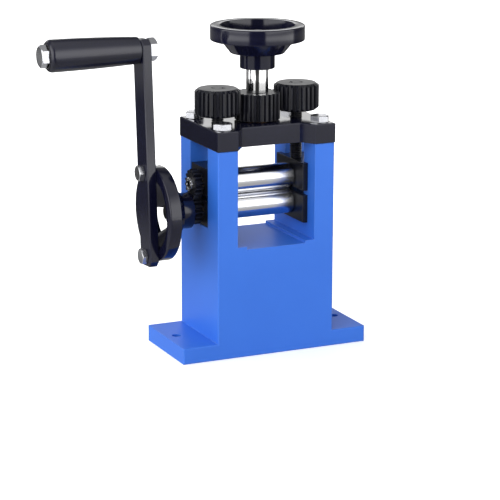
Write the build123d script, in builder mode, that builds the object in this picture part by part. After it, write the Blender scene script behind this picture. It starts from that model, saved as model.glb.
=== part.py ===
from build123d import *
import os
from math import acos, cos, pi, radians, sin, sqrt, tan

# Jewellers rolling mill: a one-piece stand with a window, two mirror-polished rollers in sliding
# bearing blocks, a geared pair of adjusting screws under a dished handwheel, and a crank.
# Origin: centre of the base's underside. +Z is up, +X runs along the rollers away from the crank,
# -Y is the side the metal is fed from. All sizes are in millimetres.

# ---------------------------------------------------------------- stand
base_length = 195.0
base_depth = 91.0
base_thickness = 16.0
tower_width = 123.0
tower_height = 205.0
window_width = 81.6
sill_below_slot = 15.8
channel_width = 62.0
channel_drop = 2.6
slot_width = 42.0
edge_break = 0.8
bench_hole_diameter = 9.2
bench_hole_inset = 11.5

# ---------------------------------------------------------------- top plate and its bolts
plate_thickness = 19.0
plate_overhang = 0.5
plate_foot_inset = 0.1
plate_recess_depth = 14.0
plate_recess_slant = 10.1
plate_bolt_inset_y = 12.2
plate_bolt_diameter = 10.0
plate_bolt_grip = 26.0
plate_bolt_head_width = 17.0
plate_bolt_head_height = 6.4
tapped_hole_spare = 4.0

# ---------------------------------------------------------------- rollers and bearing blocks
pass_height = 153.5
roller_diameter = 25.0
roll_gap = 0.6
roller_end_chamfer = 0.5
journal_diameter = 13.0
journal_bore = 7.0
journal_bore_depth = 22.0
block_half_gap = 2.3
lower_block_height = 25.2
upper_block_height = 27.3
flange_width = 60.0
flange_thickness = 5.2
flange_drop = 2.0
block_recess = 1.0
bush_wall = 2.0
bush_recess = 0.4
shaft_end_recess = 0.4

# ---------------------------------------------------------------- roller gears
roller_gear_teeth = 16
roller_gear_width = 8.0
roller_gear_gap = 1.0
roller_gear_pressure_angle = 25.0
upper_journal_reach = 2.6
key_pin_diameter = 3.0
key_pin_sunk = 1.0

# ---------------------------------------------------------------- lift springs
spring_wire = 1.0
spring_diameter = 6.4
spring_turns = 5
spring_spacing = 30.0
spring_pocket_depth = 10.0

# ---------------------------------------------------------------- adjusting screws and gears
adjuster_teeth = 24
adjuster_module = 1.75
adjuster_addendum = 1.2
adjuster_pressure_angle = 20.0
adjuster_gear_height = 26.3
knob_bevel = 3.4
knob_bevel_height = 2.6
centre_gear_bevel = 0.6
screw_diameter = 12.0
screw_gear_lift = 7.7

# ---------------------------------------------------------------- adjuster shaft
shaft_diameter = 21.6
shaft_journal_diameter = 16.0
shaft_bush_wall = 2.0
shaft_bush_flange = 1.0
shaft_bush_flange_diameter = 27.0
shaft_tail = 4.6
thrust_washer_diameter = 24.0
thrust_washer_thickness = 1.2
circlip_thickness = 1.2
circlip_diameter = 21.0
circlip_groove_depth = 0.8
circlip_gap_angle = 50.0

# ---------------------------------------------------------------- dished wheels
wheel_diameter = 91.5
wheel_rim_round = 1.4
wheel_wall = 3.8
wheel_floor = 4.2
wheel_boss_diameter = 24.0
handwheel_length = 42.0
handwheel_lift = 51.0
handwheel_rim_height = 14.8
handwheel_rim_width = 9.75
handwheel_bowl_depth = 27.2
handwheel_floor_diameter = 52.2
handwheel_hub_diameter = 33.9
handwheel_boss_sunk = 13.1
crank_wheel_length = 37.6
crank_rim_height = 12.0
crank_rim_width = 10.9
crank_bowl_depth = 25.2
crank_floor_diameter = 41.0
crank_hub_diameter = 35.0
crank_boss_sunk = 20.2
crank_windows = 3
crank_window_inner = 21.0
crank_window_width = 9.0
crank_window_span = 53.0
crank_window_round = 2.5
crank_window_angle = 84.0
hub_bolt_diameter = 8.0
hub_bolt_length = 16.0
hub_bolt_head_width = 13.0
hub_bolt_head_height = 5.3
hub_washer_diameter = 20.0
hub_washer_thickness = 1.8
hub_spacer_diameter = 20.0
hub_spacer_thickness = 1.9
hub_pin_length = 12.0

# ---------------------------------------------------------------- crank arm and handle
crank_lean = 4.2
crank_throw = 157.5
arm_width = 26.0
arm_thickness = 9.0
arm_corner = 5.5
arm_end = 10.5
arm_tail = 10.0
arm_bolt_diameter = 8.0
arm_bolt_length = 11.0
arm_bolt_head_width = 14.0
arm_bolt_head_height = 5.6
grip_length = 91.0
grip_inner_diameter = 25.8
grip_middle_diameter = 29.4
grip_outer_diameter = 30.8
grip_outer_round = 4.5
grip_inner_round = 1.2
grip_recess_diameter = 24.0
grip_recess_depth = 1.5
handle_shoulder_diameter = 14.0
handle_thread_diameter = 12.0
handle_head_width = 19.0
handle_head_height = 8.2
handle_nut_width = 19.5
handle_nut_thickness = 8.5
handle_thread_spare = 1.2
handle_hexagon_turn = 30.0

# ---------------------------------------------------------------- clearances
block_slide_clearance = 0.2
roller_side_clearance = 0.4
running_clearance = 0.04
thread_clearance = 0.06
bolt_hole_clearance = 0.25
fixed_fit_clearance = 0.02
spring_pocket_clearance = 0.5
spring_end_clearance = 0.1
grip_end_clearance = 0.3
gear_backlash = 0.36
root_clearance = 0.45
thrust_clearance = 0.1

# ---------------------------------------------------------------- places worked out from the sizes
plate_top = tower_height + plate_thickness
tower_side = tower_width / 2
window_side = window_width / 2
plate_half_x = tower_side + plate_overhang
plate_half_y = base_depth / 2 + plate_overhang
recess_mouth = window_side - plate_foot_inset
recess_floor = recess_mouth - plate_recess_slant
recess_y = plate_half_y - plate_recess_depth
plate_bolt_spacing_x = tower_side + window_side
plate_bolt_spacing_y = base_depth - 2 * plate_bolt_inset_y
roll_centres = roller_diameter + roll_gap
lower_axis_z = pass_height - roll_centres / 2
upper_axis_z = pass_height + roll_centres / 2
slot_floor = pass_height - block_half_gap - lower_block_height
sill_height = slot_floor - sill_below_slot
upper_block_top = pass_height + block_half_gap + upper_block_height
flange_outer_x = window_side - block_slide_clearance
flange_inner_x = flange_outer_x - flange_thickness
block_outer_x = tower_side - block_recess
barrel_half = flange_inner_x - roller_side_clearance
bush_radius = journal_diameter / 2 + bush_wall
roller_gear_module = roll_centres / roller_gear_teeth
gear_inner_x = -tower_side - roller_gear_gap
gear_outer_x = gear_inner_x - roller_gear_width
crank_hub_x = gear_outer_x - hub_spacer_thickness
crank_rim_x = crank_hub_x - crank_wheel_length
arm_outer_x = crank_rim_x - arm_thickness
screw_x = adjuster_module * adjuster_teeth
screw_gear_bottom = plate_top + screw_gear_lift
screw_top = screw_gear_bottom + adjuster_gear_height
centre_gear_bottom = plate_top + shaft_bush_flange + thrust_clearance
centre_gear_top = centre_gear_bottom + adjuster_gear_height
hub_seat_z = plate_top + handwheel_lift
handwheel_rim_z = hub_seat_z + handwheel_length
rim_middle = (wheel_diameter - crank_rim_width) / 2
spring_x = (flange_inner_x + block_outer_x) / 2
crank_seat_x = crank_rim_x + crank_boss_sunk
crank_shaft_end = crank_seat_x + shaft_end_recess
handwheel_seat_z = handwheel_rim_z - handwheel_boss_sunk
shaft_high = handwheel_seat_z - shaft_end_recess
hub_bolt_reach = hub_bolt_length + hub_washer_thickness + shaft_end_recess
grip_inner_x = arm_outer_x - grip_end_clearance
grip_outer_x = grip_inner_x - grip_length
head_seat_x = grip_outer_x + grip_recess_depth - grip_end_clearance
sides = {"left": -1, "right": 1}

os.makedirs("parts", exist_ok=True)


def finish(build, name):
    """Label a finished piece and write it as its own STEP file."""
    build.part.label = name
    export_step(build.part, f"parts/{name}.step")


def across(x, axis_z=0.0):
    """Plane square to the rollers: local x is +Y, local y is +Z and its normal is +X."""
    return Plane(origin=(x, 0, axis_z), x_dir=(0, 1, 0), z_dir=(1, 0, 0))


def crank_plane(x, along_arm=0.0):
    """Plane that faces away from the stand, with local y along the arm and its origin on it."""
    lean = radians(crank_lean)
    arm_way = Vector(0, sin(lean), cos(lean))
    return Plane(origin=Vector(x, 0, lower_axis_z) + arm_way * along_arm,
                 x_dir=(0, -cos(lean), sin(lean)), z_dir=(-1, 0, 0))


def axial(plane):
    """Plane that holds the given plane's normal: local x is radial and local y runs along it."""
    return Plane(origin=plane.origin, x_dir=plane.x_dir, z_dir=-plane.y_dir)


def centre_line(plane):
    """Axis of rotation through a plane's origin, along its normal."""
    return Axis(plane.origin, plane.z_dir)


def hexagon_radius(width_across_flats):
    """Corner radius of a hexagon from its width across flats."""
    return width_across_flats / sqrt(3)


def involute(angle):
    """Involute function of a pressure angle in radians."""
    return tan(angle) - angle


def gear_sketch(teeth, module, addendum, pressure_angle, shaft_radius, first_tooth):
    """Spur gear face with involute flanks, backlash at the pitch circle and a round bore."""
    pitch_radius = module * teeth / 2
    base_radius = pitch_radius * cos(radians(pressure_angle))
    tip_radius = pitch_radius + addendum
    root_radius = pitch_radius - addendum - root_clearance
    flank_start = max(base_radius, root_radius)
    half_pitch_angle = pi / (2 * teeth) - gear_backlash / (4 * pitch_radius)

    def flank(radius, side):
        """Point of a tooth's flank at a radius, on either side of the tooth's middle."""
        swing = involute(radians(pressure_angle)) - involute(acos(min(1.0, base_radius / radius)))
        angle = side * (half_pitch_angle + swing)
        return (radius * cos(angle), radius * sin(angle))

    inner = root_radius - root_clearance
    low = [flank(flank_start, side) for side in (-1, 1)]
    high = [flank(tip_radius, side) for side in (-1, 1)]
    middle = [flank((flank_start + tip_radius) / 2, side) for side in (-1, 1)]
    foot = [(inner * x / flank_start, inner * y / flank_start) for x, y in low]
    with BuildSketch() as tooth:
        with BuildLine():
            Line(foot[0], low[0])
            ThreePointArc(low[0], middle[0], high[0])
            ThreePointArc(high[0], (tip_radius, 0), high[1])
            ThreePointArc(high[1], middle[1], low[1])
            Line(low[1], foot[1])
            Line(foot[1], foot[0])
        make_face()
    with BuildSketch() as face:
        Circle(root_radius)
        with PolarLocations(0, teeth, start_angle=first_tooth):
            add(tooth.sketch)
        Circle(shaft_radius + fixed_fit_clearance, mode=Mode.SUBTRACT)
    return face.sketch


def key_hole(plane, radius, angle, depth):
    """Cut a round axial hole on the joint line between a shaft and what it carries."""
    with BuildSketch(plane) as hole:
        with PolarLocations(radius, 1, start_angle=angle):
            Circle(key_pin_diameter / 2 + fixed_fit_clearance)
    extrude(hole.sketch, amount=depth, mode=Mode.SUBTRACT)


def key_pin(plane, radius, angle, length):
    """Round pin that lies half in a shaft and half in what the shaft carries."""
    with BuildPart() as pin:
        with BuildSketch(plane):
            with PolarLocations(radius, 1, start_angle=angle):
                Circle(key_pin_diameter / 2)
        extrude(amount=length)
    return pin


# ---------------------------------------------------------------- stand
with BuildPart() as frame_body:
    with BuildSketch(Plane.XZ):
        with Locations((0, base_thickness / 2)):
            Rectangle(base_length, base_thickness)
        with Locations((0, (base_thickness + tower_height) / 2)):
            Rectangle(tower_width, tower_height - base_thickness)
    extrude(amount=base_depth / 2, both=True)
    front_and_back = frame_body.faces().filter_by(Axis.Y)
    chamfer(front_and_back.edges(), edge_break)
    # window between the columns, with a shallow channel in its sill
    with BuildSketch(Plane.XY.offset(sill_height)):
        Rectangle(window_width, base_depth)
    extrude(amount=tower_height - sill_height, mode=Mode.SUBTRACT)
    with BuildSketch(Plane.XY.offset(sill_height)):
        Rectangle(channel_width, base_depth)
    extrude(amount=-channel_drop, mode=Mode.SUBTRACT)
    # slots that the bearing blocks slide in, open at the top
    with BuildSketch(Plane.XY.offset(slot_floor)):
        Rectangle(tower_width, slot_width)
    extrude(amount=tower_height - slot_floor, mode=Mode.SUBTRACT)
    # tapped holes for the top plate's bolts
    with BuildSketch(Plane.XY.offset(tower_height)):
        with GridLocations(plate_bolt_spacing_x, plate_bolt_spacing_y, 2, 2):
            Circle(plate_bolt_diameter / 2 + fixed_fit_clearance)
    extrude(amount=-(plate_bolt_grip + tapped_hole_spare), mode=Mode.SUBTRACT)
    # plain holes for the bench bolts
    with BuildSketch(Plane.XY.offset(base_thickness)):
        with GridLocations(base_length - 2 * bench_hole_inset, 1, 2, 1):
            Circle(bench_hole_diameter / 2)
    extrude(amount=-base_thickness, mode=Mode.SUBTRACT)
finish(frame_body, "frame_body")

# ---------------------------------------------------------------- top plate
with BuildPart() as top_plate:
    with BuildSketch(Plane.XY.offset(tower_height)):
        Rectangle(2 * plate_half_x, 2 * plate_half_y)
        for front in (-1, 1):
            with BuildLine():
                Polyline((-recess_mouth, front * plate_half_y), (-recess_floor, front * recess_y),
                         (recess_floor, front * recess_y), (recess_mouth, front * plate_half_y),
                         close=True)
            make_face(mode=Mode.SUBTRACT)
    extrude(amount=plate_thickness)
    chamfer(top_plate.edges().group_by(Axis.Z)[-1], edge_break)
    with BuildSketch(Plane.XY.offset(tower_height)):
        with GridLocations(plate_bolt_spacing_x, plate_bolt_spacing_y, 2, 2):
            Circle(plate_bolt_diameter / 2 + bolt_hole_clearance)
        with GridLocations(2 * screw_x, 1, 2, 1):
            Circle(screw_diameter / 2 + thread_clearance)
        Circle(shaft_journal_diameter / 2 + shaft_bush_wall)
    extrude(amount=plate_thickness, mode=Mode.SUBTRACT)
finish(top_plate, "top_plate")


def hex_bolt(plane, head_width, head_height, shank_diameter, shank_length, turn=0.0):
    """Hexagon head on the plane with its crown bevelled, and the shank behind the plane."""
    with BuildPart() as bolt:
        with BuildSketch(plane):
            RegularPolygon(hexagon_radius(head_width), 6, rotation=turn)
        extrude(amount=head_height)
        with BuildSketch(axial(plane)):
            crown = hexagon_radius(head_width)
            bevel = crown - head_width / 2
            with BuildLine():
                Polyline((0, 0), (crown, 0), (crown, head_height - bevel / 2),
                         (crown - bevel, head_height), (0, head_height), close=True)
            make_face()
        revolve(axis=centre_line(plane), mode=Mode.INTERSECT)
        with BuildSketch(plane):
            Circle(shank_diameter / 2)
        extrude(amount=-shank_length)
    return bolt


plate_bolt = hex_bolt(Plane.XY.offset(plate_top), plate_bolt_head_width, plate_bolt_head_height,
                      plate_bolt_diameter, plate_thickness + plate_bolt_grip)
with BuildPart() as top_plate_bolts:
    with GridLocations(plate_bolt_spacing_x, plate_bolt_spacing_y, 2, 2):
        add(plate_bolt.part)
finish(top_plate_bolts, "top_plate_bolts")

# ---------------------------------------------------------------- bearing blocks and their bushes
levels = {
    "lower": (lower_axis_z, slot_floor, pass_height - block_half_gap, slot_floor - flange_drop,
              pass_height - block_half_gap),
    "upper": (upper_axis_z, pass_height + block_half_gap, upper_block_top,
              pass_height + block_half_gap, upper_block_top),
}
spring_pocket_radius = spring_diameter / 2 + spring_pocket_clearance
for level, (axis_z, body_low, body_high, flange_low, flange_high) in levels.items():
    for hand, side in sides.items():
        block_face = across(side * flange_inner_x)
        block_length = block_outer_x - flange_inner_x
        with BuildPart() as block:
            with BuildSketch(block_face):
                with Locations((0, (body_low + body_high) / 2)):
                    Rectangle(slot_width - 2 * block_slide_clearance, body_high - body_low)
            extrude(amount=side * block_length)
            with BuildSketch(block_face):
                with Locations((0, (flange_low + flange_high) / 2)):
                    Rectangle(flange_width, flange_high - flange_low)
            extrude(amount=side * flange_thickness)
            inner_face = block.faces().sort_by(Axis.X)[0 if side > 0 else -1]
            chamfer(inner_face.edges(), edge_break / 2)
            with BuildSketch(across(side * flange_inner_x, axis_z)):
                Circle(bush_radius + fixed_fit_clearance)
            extrude(amount=side * block_length, mode=Mode.SUBTRACT)
            near_face = body_high if level == "lower" else body_low
            inward = -1 if level == "lower" else 1
            with BuildSketch(Plane.XY.offset(near_face)):
                with Locations((side * spring_x, -spring_spacing / 2),
                               (side * spring_x, spring_spacing / 2)):
                    Circle(spring_pocket_radius)
            extrude(amount=inward * spring_pocket_depth, mode=Mode.SUBTRACT)
        finish(block, f"{level}_block_{hand}")
        with BuildPart() as bush:
            with BuildSketch(across(side * (flange_inner_x + bush_recess), axis_z)):
                Circle(bush_radius)
                Circle(journal_diameter / 2 + running_clearance, mode=Mode.SUBTRACT)
            extrude(amount=side * (block_length - 2 * bush_recess))
        finish(bush, f"{level}_bush_{hand}")

# ---------------------------------------------------------------- rollers
key_offset = journal_diameter / 2
upper_shaft_end = gear_outer_x - upper_journal_reach
roller_gear_key_angle = {"lower": 90.0, "upper": 270.0}
roller_ends = {
    "lower": (lower_axis_z, crank_shaft_end, hub_bolt_diameter / 2 + fixed_fit_clearance),
    "upper": (upper_axis_z, upper_shaft_end, journal_bore / 2),
}
for level, (axis_z, shaft_end, end_bore) in roller_ends.items():
    with BuildPart() as roller:
        with BuildSketch(across(-barrel_half, axis_z)):
            Circle(roller_diameter / 2)
        extrude(amount=2 * barrel_half)
        chamfer(roller.edges(), roller_end_chamfer)
        with BuildSketch(across(shaft_end, axis_z)):
            Circle(journal_diameter / 2)
        extrude(amount=block_outer_x - shaft_end)
        with BuildSketch(across(block_outer_x, axis_z)):
            Circle(journal_bore / 2)
        extrude(amount=-journal_bore_depth, mode=Mode.SUBTRACT)
        with BuildSketch(across(shaft_end, axis_z)):
            Circle(end_bore)
        extrude(amount=hub_bolt_length + tapped_hole_spare, mode=Mode.SUBTRACT)
        key_hole(across(gear_outer_x, axis_z), key_offset, roller_gear_key_angle[level],
                 roller_gear_width)
        if level == "lower":
            key_hole(across(shaft_end, axis_z), key_offset, roller_gear_key_angle[level],
                     hub_pin_length)
    finish(roller, f"{level}_roller")

# ---------------------------------------------------------------- roller gears and their key pins
gear_phase = {"lower": 0.0, "upper": 180.0 / roller_gear_teeth}
for level, (axis_z, _, _) in roller_ends.items():
    gear_plane = across(gear_outer_x, axis_z)
    key_angle = roller_gear_key_angle[level]
    roller_gear_face = gear_sketch(roller_gear_teeth, roller_gear_module, roller_gear_module,
                                   roller_gear_pressure_angle, journal_diameter / 2,
                                   gear_phase[level])
    with BuildPart() as roller_gear:
        with BuildSketch(gear_plane):
            add(roller_gear_face)
        extrude(amount=roller_gear_width)
        key_hole(gear_plane, key_offset, key_angle, roller_gear_width)
    finish(roller_gear, f"{level}_roller_gear")
    finish(key_pin(across(gear_outer_x + key_pin_sunk, axis_z), key_offset, key_angle,
                   roller_gear_width - key_pin_sunk), f"{level}_gear_pin")

# ---------------------------------------------------------------- lift springs
spring_low = pass_height - block_half_gap - spring_pocket_depth + spring_end_clearance
spring_high = pass_height + block_half_gap + spring_pocket_depth - spring_end_clearance
coil_radius = (spring_diameter - spring_wire) / 2
coil_rise = (spring_high - spring_low - spring_wire) / spring_turns


def coil_point(turn):
    """Point of the coil's centre line, and its unit tangent, after a number of turns."""
    angle = 2 * pi * turn
    point = Vector(coil_radius * cos(angle), coil_radius * sin(angle),
                   spring_low + spring_wire / 2 + coil_rise * turn)
    tangent = Vector(-coil_radius * sin(angle), coil_radius * cos(angle), coil_rise / (2 * pi))
    return point, tangent.normalized()


def biarc(start, start_tangent, end, end_tangent):
    """Two arcs that leave the start and reach the end along their tangents and meet smoothly."""
    span = end - start
    both = start_tangent + end_tangent
    turning = 2 * (1 - start_tangent.dot(end_tangent))
    reach = (sqrt(span.dot(both) ** 2 + turning * span.dot(span)) - span.dot(both)) / turning
    first = start + start_tangent * reach
    second = end - end_tangent * reach
    joint = (first + second) / 2
    TangentArc(start, joint, tangent=start_tangent)
    TangentArc(joint, end, tangent=second - first)


with BuildPart() as spring:
    with BuildLine():
        for half_turn in range(2 * spring_turns):
            biarc(*coil_point(half_turn / 2), *coil_point((half_turn + 1) / 2))
    coil_start, coil_heading = coil_point(0)
    with BuildSketch(Plane(origin=coil_start, z_dir=coil_heading)):
        Circle(spring_wire / 2)
    sweep()
coil_samples = [coil_point(step / 48)[0] for step in range(48 * spring_turns + 1)]
coil_gap = min((a - b).length for i, a in enumerate(coil_samples)
               for b in coil_samples[i + 24:]) - spring_wire
print("least gap between the spring's curls:", round(coil_gap, 2), "mm")
with BuildPart() as lift_springs:
    with GridLocations(2 * spring_x, spring_spacing, 2, 2):
        add(spring.part)
finish(lift_springs, "lift_springs")

# ---------------------------------------------------------------- adjusting screws and their gears
def adjuster_gear(plane, shaft_radius, first_tooth, key_angle, bevel, bevel_height):
    """Tall gear of the adjuster with bevelled ends and a key hole in its bore."""
    gear_face = gear_sketch(adjuster_teeth, adjuster_module, adjuster_addendum,
                            adjuster_pressure_angle, shaft_radius, first_tooth)
    with BuildPart() as gear:
        with BuildSketch(plane):
            add(gear_face)
        extrude(amount=adjuster_gear_height)
        with BuildSketch(axial(plane)):
            with BuildLine():
                adjuster_tip = adjuster_module * adjuster_teeth / 2 + adjuster_addendum
                face_radius = adjuster_tip - bevel
                Polyline((0, 0), (face_radius, 0), (adjuster_tip, bevel_height),
                         (adjuster_tip, adjuster_gear_height - bevel_height),
                         (face_radius, adjuster_gear_height), (0, adjuster_gear_height), close=True)
            make_face()
        revolve(axis=centre_line(plane), mode=Mode.INTERSECT)
        key_hole(plane, shaft_radius, key_angle, adjuster_gear_height)
    return gear


screw_radius = screw_diameter / 2
screw_key_angle = {"left": 330.0, "right": 170.0}
half_tooth_angle = 180.0 / adjuster_teeth
for hand, side in sides.items():
    screw_gear_plane = Plane(origin=(side * screw_x, 0, screw_gear_bottom))
    key_angle = screw_key_angle[hand]
    with BuildPart() as screw:
        with BuildSketch(Plane(origin=(side * screw_x, 0, upper_block_top))):
            Circle(screw_radius)
        extrude(amount=screw_top - upper_block_top)
        chamfer(screw.edges().group_by(Axis.Z)[-1], edge_break)
        key_hole(screw_gear_plane, screw_radius, key_angle, adjuster_gear_height)
    finish(screw, f"screw_{hand}")
    finish(adjuster_gear(screw_gear_plane, screw_radius, half_tooth_angle, key_angle,
                         knob_bevel, knob_bevel_height), f"screw_gear_{hand}")
    finish(key_pin(screw_gear_plane, screw_radius, key_angle,
                   adjuster_gear_height - key_pin_sunk), f"screw_gear_pin_{hand}")

# ---------------------------------------------------------------- adjuster shaft, gear and bearing
shaft_key_angle = 90.0
shaft_journal_radius = shaft_journal_diameter / 2
centre_gear_plane = Plane.XY.offset(centre_gear_bottom)
shaft_low = tower_height - shaft_tail
circlip_top = tower_height - thrust_washer_thickness - 2 * thrust_clearance
circlip_bottom = circlip_top - circlip_thickness
circlip_inner = shaft_journal_radius - circlip_groove_depth
with BuildPart() as adjuster_shaft:
    with BuildSketch(Plane.XY.offset(shaft_low)):
        Circle(shaft_journal_radius)
    extrude(amount=centre_gear_top - shaft_low)
    with BuildSketch(Plane.XY.offset(centre_gear_top)):
        Circle(shaft_diameter / 2)
    extrude(amount=hub_seat_z - centre_gear_top)
    with BuildSketch(Plane.XY.offset(hub_seat_z)):
        Circle(journal_diameter / 2)
    extrude(amount=shaft_high - hub_seat_z)
    with BuildSketch(Plane.XY.offset(circlip_bottom)):
        Circle(shaft_journal_radius)
        Circle(circlip_inner, mode=Mode.SUBTRACT)
    extrude(amount=circlip_thickness, mode=Mode.SUBTRACT)
    with BuildSketch(Plane.XY.offset(shaft_high)):
        Circle(hub_bolt_diameter / 2 + fixed_fit_clearance)
    extrude(amount=-(hub_bolt_length + tapped_hole_spare), mode=Mode.SUBTRACT)
    key_hole(centre_gear_plane, shaft_journal_radius, shaft_key_angle, adjuster_gear_height)
    key_hole(Plane.XY.offset(shaft_high), journal_diameter / 2, shaft_key_angle, -hub_pin_length)
finish(adjuster_shaft, "adjuster_shaft")

finish(adjuster_gear(centre_gear_plane, shaft_journal_radius, 0.0, shaft_key_angle,
                     centre_gear_bevel, centre_gear_bevel), "centre_gear")
finish(key_pin(centre_gear_plane, shaft_journal_radius, shaft_key_angle,
               adjuster_gear_height - key_pin_sunk), "centre_gear_pin")

with BuildPart() as shaft_bush:
    with BuildSketch(Plane.XY.offset(tower_height)):
        Circle(shaft_journal_radius + shaft_bush_wall - fixed_fit_clearance)
    extrude(amount=plate_thickness)
    with BuildSketch(Plane.XY.offset(plate_top)):
        Circle(shaft_bush_flange_diameter / 2)
    extrude(amount=shaft_bush_flange)
    with BuildSketch(Plane.XY.offset(tower_height)):
        Circle(shaft_journal_radius + running_clearance)
    extrude(amount=plate_thickness + shaft_bush_flange, mode=Mode.SUBTRACT)
finish(shaft_bush, "shaft_bush")

with BuildPart() as thrust_washer:
    with BuildSketch(Plane.XY.offset(circlip_top)):
        Circle(thrust_washer_diameter / 2)
        Circle(shaft_journal_radius + fixed_fit_clearance, mode=Mode.SUBTRACT)
    extrude(amount=thrust_washer_thickness)
finish(thrust_washer, "thrust_washer")

with BuildPart() as shaft_circlip:
    with BuildSketch(Plane.XY.offset(circlip_bottom)):
        Circle(circlip_diameter / 2)
        Circle(circlip_inner + fixed_fit_clearance, mode=Mode.SUBTRACT)
        with BuildLine():
            gap_reach = circlip_diameter
            Polyline((0, 0), (gap_reach * cos(radians(circlip_gap_angle / 2)),
                              gap_reach * sin(radians(circlip_gap_angle / 2))),
                     (gap_reach * cos(radians(circlip_gap_angle / 2)),
                      -gap_reach * sin(radians(circlip_gap_angle / 2))), close=True)
        make_face(mode=Mode.SUBTRACT)
    extrude(amount=circlip_thickness)
finish(shaft_circlip, "shaft_circlip")


# ---------------------------------------------------------------- dished wheels
def dished_wheel(plane, length, rim_height, rim_width, bowl_depth, floor_diameter, hub_diameter,
                 boss_sunk, key_angle):
    """Wheel whose rim face lies on the plane: its bowl and hub are behind the plane."""
    rim = wheel_diameter / 2
    mouth = rim - rim_width
    bore = journal_diameter / 2 + fixed_fit_clearance
    bowl_floor = floor_diameter / 2
    slope = (mouth - bowl_floor) / (bowl_depth - rim_height)
    inner_depth = bowl_depth - wheel_floor
    inner_floor = bowl_floor + slope * wheel_floor - wheel_wall
    outline = [
        ((bore, -length), 0.0),
        ((hub_diameter / 2, -length), edge_break),
        ((hub_diameter / 2, -bowl_depth), 0.0),
        ((bowl_floor, -bowl_depth), edge_break),
        ((mouth, -rim_height), 0.0),
        ((rim, -rim_height), wheel_rim_round),
        ((rim, 0), wheel_rim_round),
        ((mouth, 0), edge_break),
        ((mouth - edge_break, wheel_wall - rim_height), 0.0),
        ((inner_floor, -inner_depth), 0.0),
        ((wheel_boss_diameter / 2, -inner_depth), 0.0),
        ((wheel_boss_diameter / 2, -boss_sunk), 0.0),
        ((bore, -boss_sunk), 0.0),
    ]
    with BuildPart() as wheel:
        with BuildSketch(axial(plane)):
            with BuildLine():
                FilletPolyline([point for point, _ in outline], close=True,
                               radius=[corner for _, corner in outline])
            make_face()
        revolve(axis=centre_line(plane))
        key_hole(plane.offset(-boss_sunk - shaft_end_recess), journal_diameter / 2, key_angle,
                 -hub_pin_length)
    return wheel


def hub_washer(plane):
    """Flat washer that the hub bolt presses on the wheel's boss."""
    with BuildPart() as washer:
        with BuildSketch(plane):
            Circle(hub_washer_diameter / 2)
            Circle(hub_bolt_diameter / 2 + bolt_hole_clearance, mode=Mode.SUBTRACT)
        extrude(amount=hub_washer_thickness)
    return washer


finish(dished_wheel(Plane.XY.offset(handwheel_rim_z), handwheel_length, handwheel_rim_height,
                    handwheel_rim_width, handwheel_bowl_depth, handwheel_floor_diameter,
                    handwheel_hub_diameter, handwheel_boss_sunk, shaft_key_angle), "handwheel")
finish(key_pin(Plane.XY.offset(shaft_high), journal_diameter / 2, shaft_key_angle,
               -hub_pin_length), "handwheel_pin")
finish(hub_washer(Plane.XY.offset(handwheel_seat_z)), "handwheel_washer")
finish(hex_bolt(Plane.XY.offset(handwheel_seat_z + hub_washer_thickness), hub_bolt_head_width,
                hub_bolt_head_height, hub_bolt_diameter, hub_bolt_reach), "handwheel_bolt")

crank_key_angle = 90.0 - crank_lean
plain_wheel = dished_wheel(crank_plane(crank_rim_x), crank_wheel_length, crank_rim_height,
                           crank_rim_width, crank_bowl_depth, crank_floor_diameter,
                           crank_hub_diameter, crank_boss_sunk, crank_key_angle)
with BuildSketch() as window:
    with BuildLine():
        window_start = -crank_window_span / 2
        window_outer = crank_window_inner + crank_window_width
        outer_arc = CenterArc((0, 0), window_outer, window_start, crank_window_span)
        inner_arc = CenterArc((0, 0), crank_window_inner, window_start, crank_window_span)
        Line(outer_arc @ 0, inner_arc @ 0)
        Line(outer_arc @ 1, inner_arc @ 1)
    make_face()
    fillet(window.vertices(), crank_window_round)
with BuildPart() as crank_wheel:
    add(plain_wheel.part)
    with BuildSketch(crank_plane(crank_rim_x)):
        with Locations((0, -rim_middle), (0, rim_middle)):
            Circle(arm_bolt_diameter / 2 + fixed_fit_clearance)
    extrude(amount=-crank_rim_height, mode=Mode.SUBTRACT)
    with BuildSketch(crank_plane(crank_rim_x + crank_rim_height / 2)):
        with PolarLocations(0, crank_windows, start_angle=crank_window_angle):
            add(window.sketch)
    extrude(amount=-crank_wheel_length, mode=Mode.SUBTRACT)
finish(crank_wheel, "crank_wheel")
finish(key_pin(crank_plane(crank_shaft_end), journal_diameter / 2, crank_key_angle,
               -hub_pin_length), "crank_wheel_pin")
finish(hub_washer(crank_plane(crank_seat_x)), "crank_wheel_washer")
finish(hex_bolt(crank_plane(crank_seat_x - hub_washer_thickness), hub_bolt_head_width,
                hub_bolt_head_height, hub_bolt_diameter, hub_bolt_reach), "crank_wheel_bolt")

with BuildPart() as crank_spacer:
    with BuildSketch(across(crank_hub_x, lower_axis_z)):
        Circle(hub_spacer_diameter / 2)
        Circle(journal_diameter / 2 + fixed_fit_clearance, mode=Mode.SUBTRACT)
    extrude(amount=hub_spacer_thickness)
finish(crank_spacer, "crank_spacer")

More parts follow.
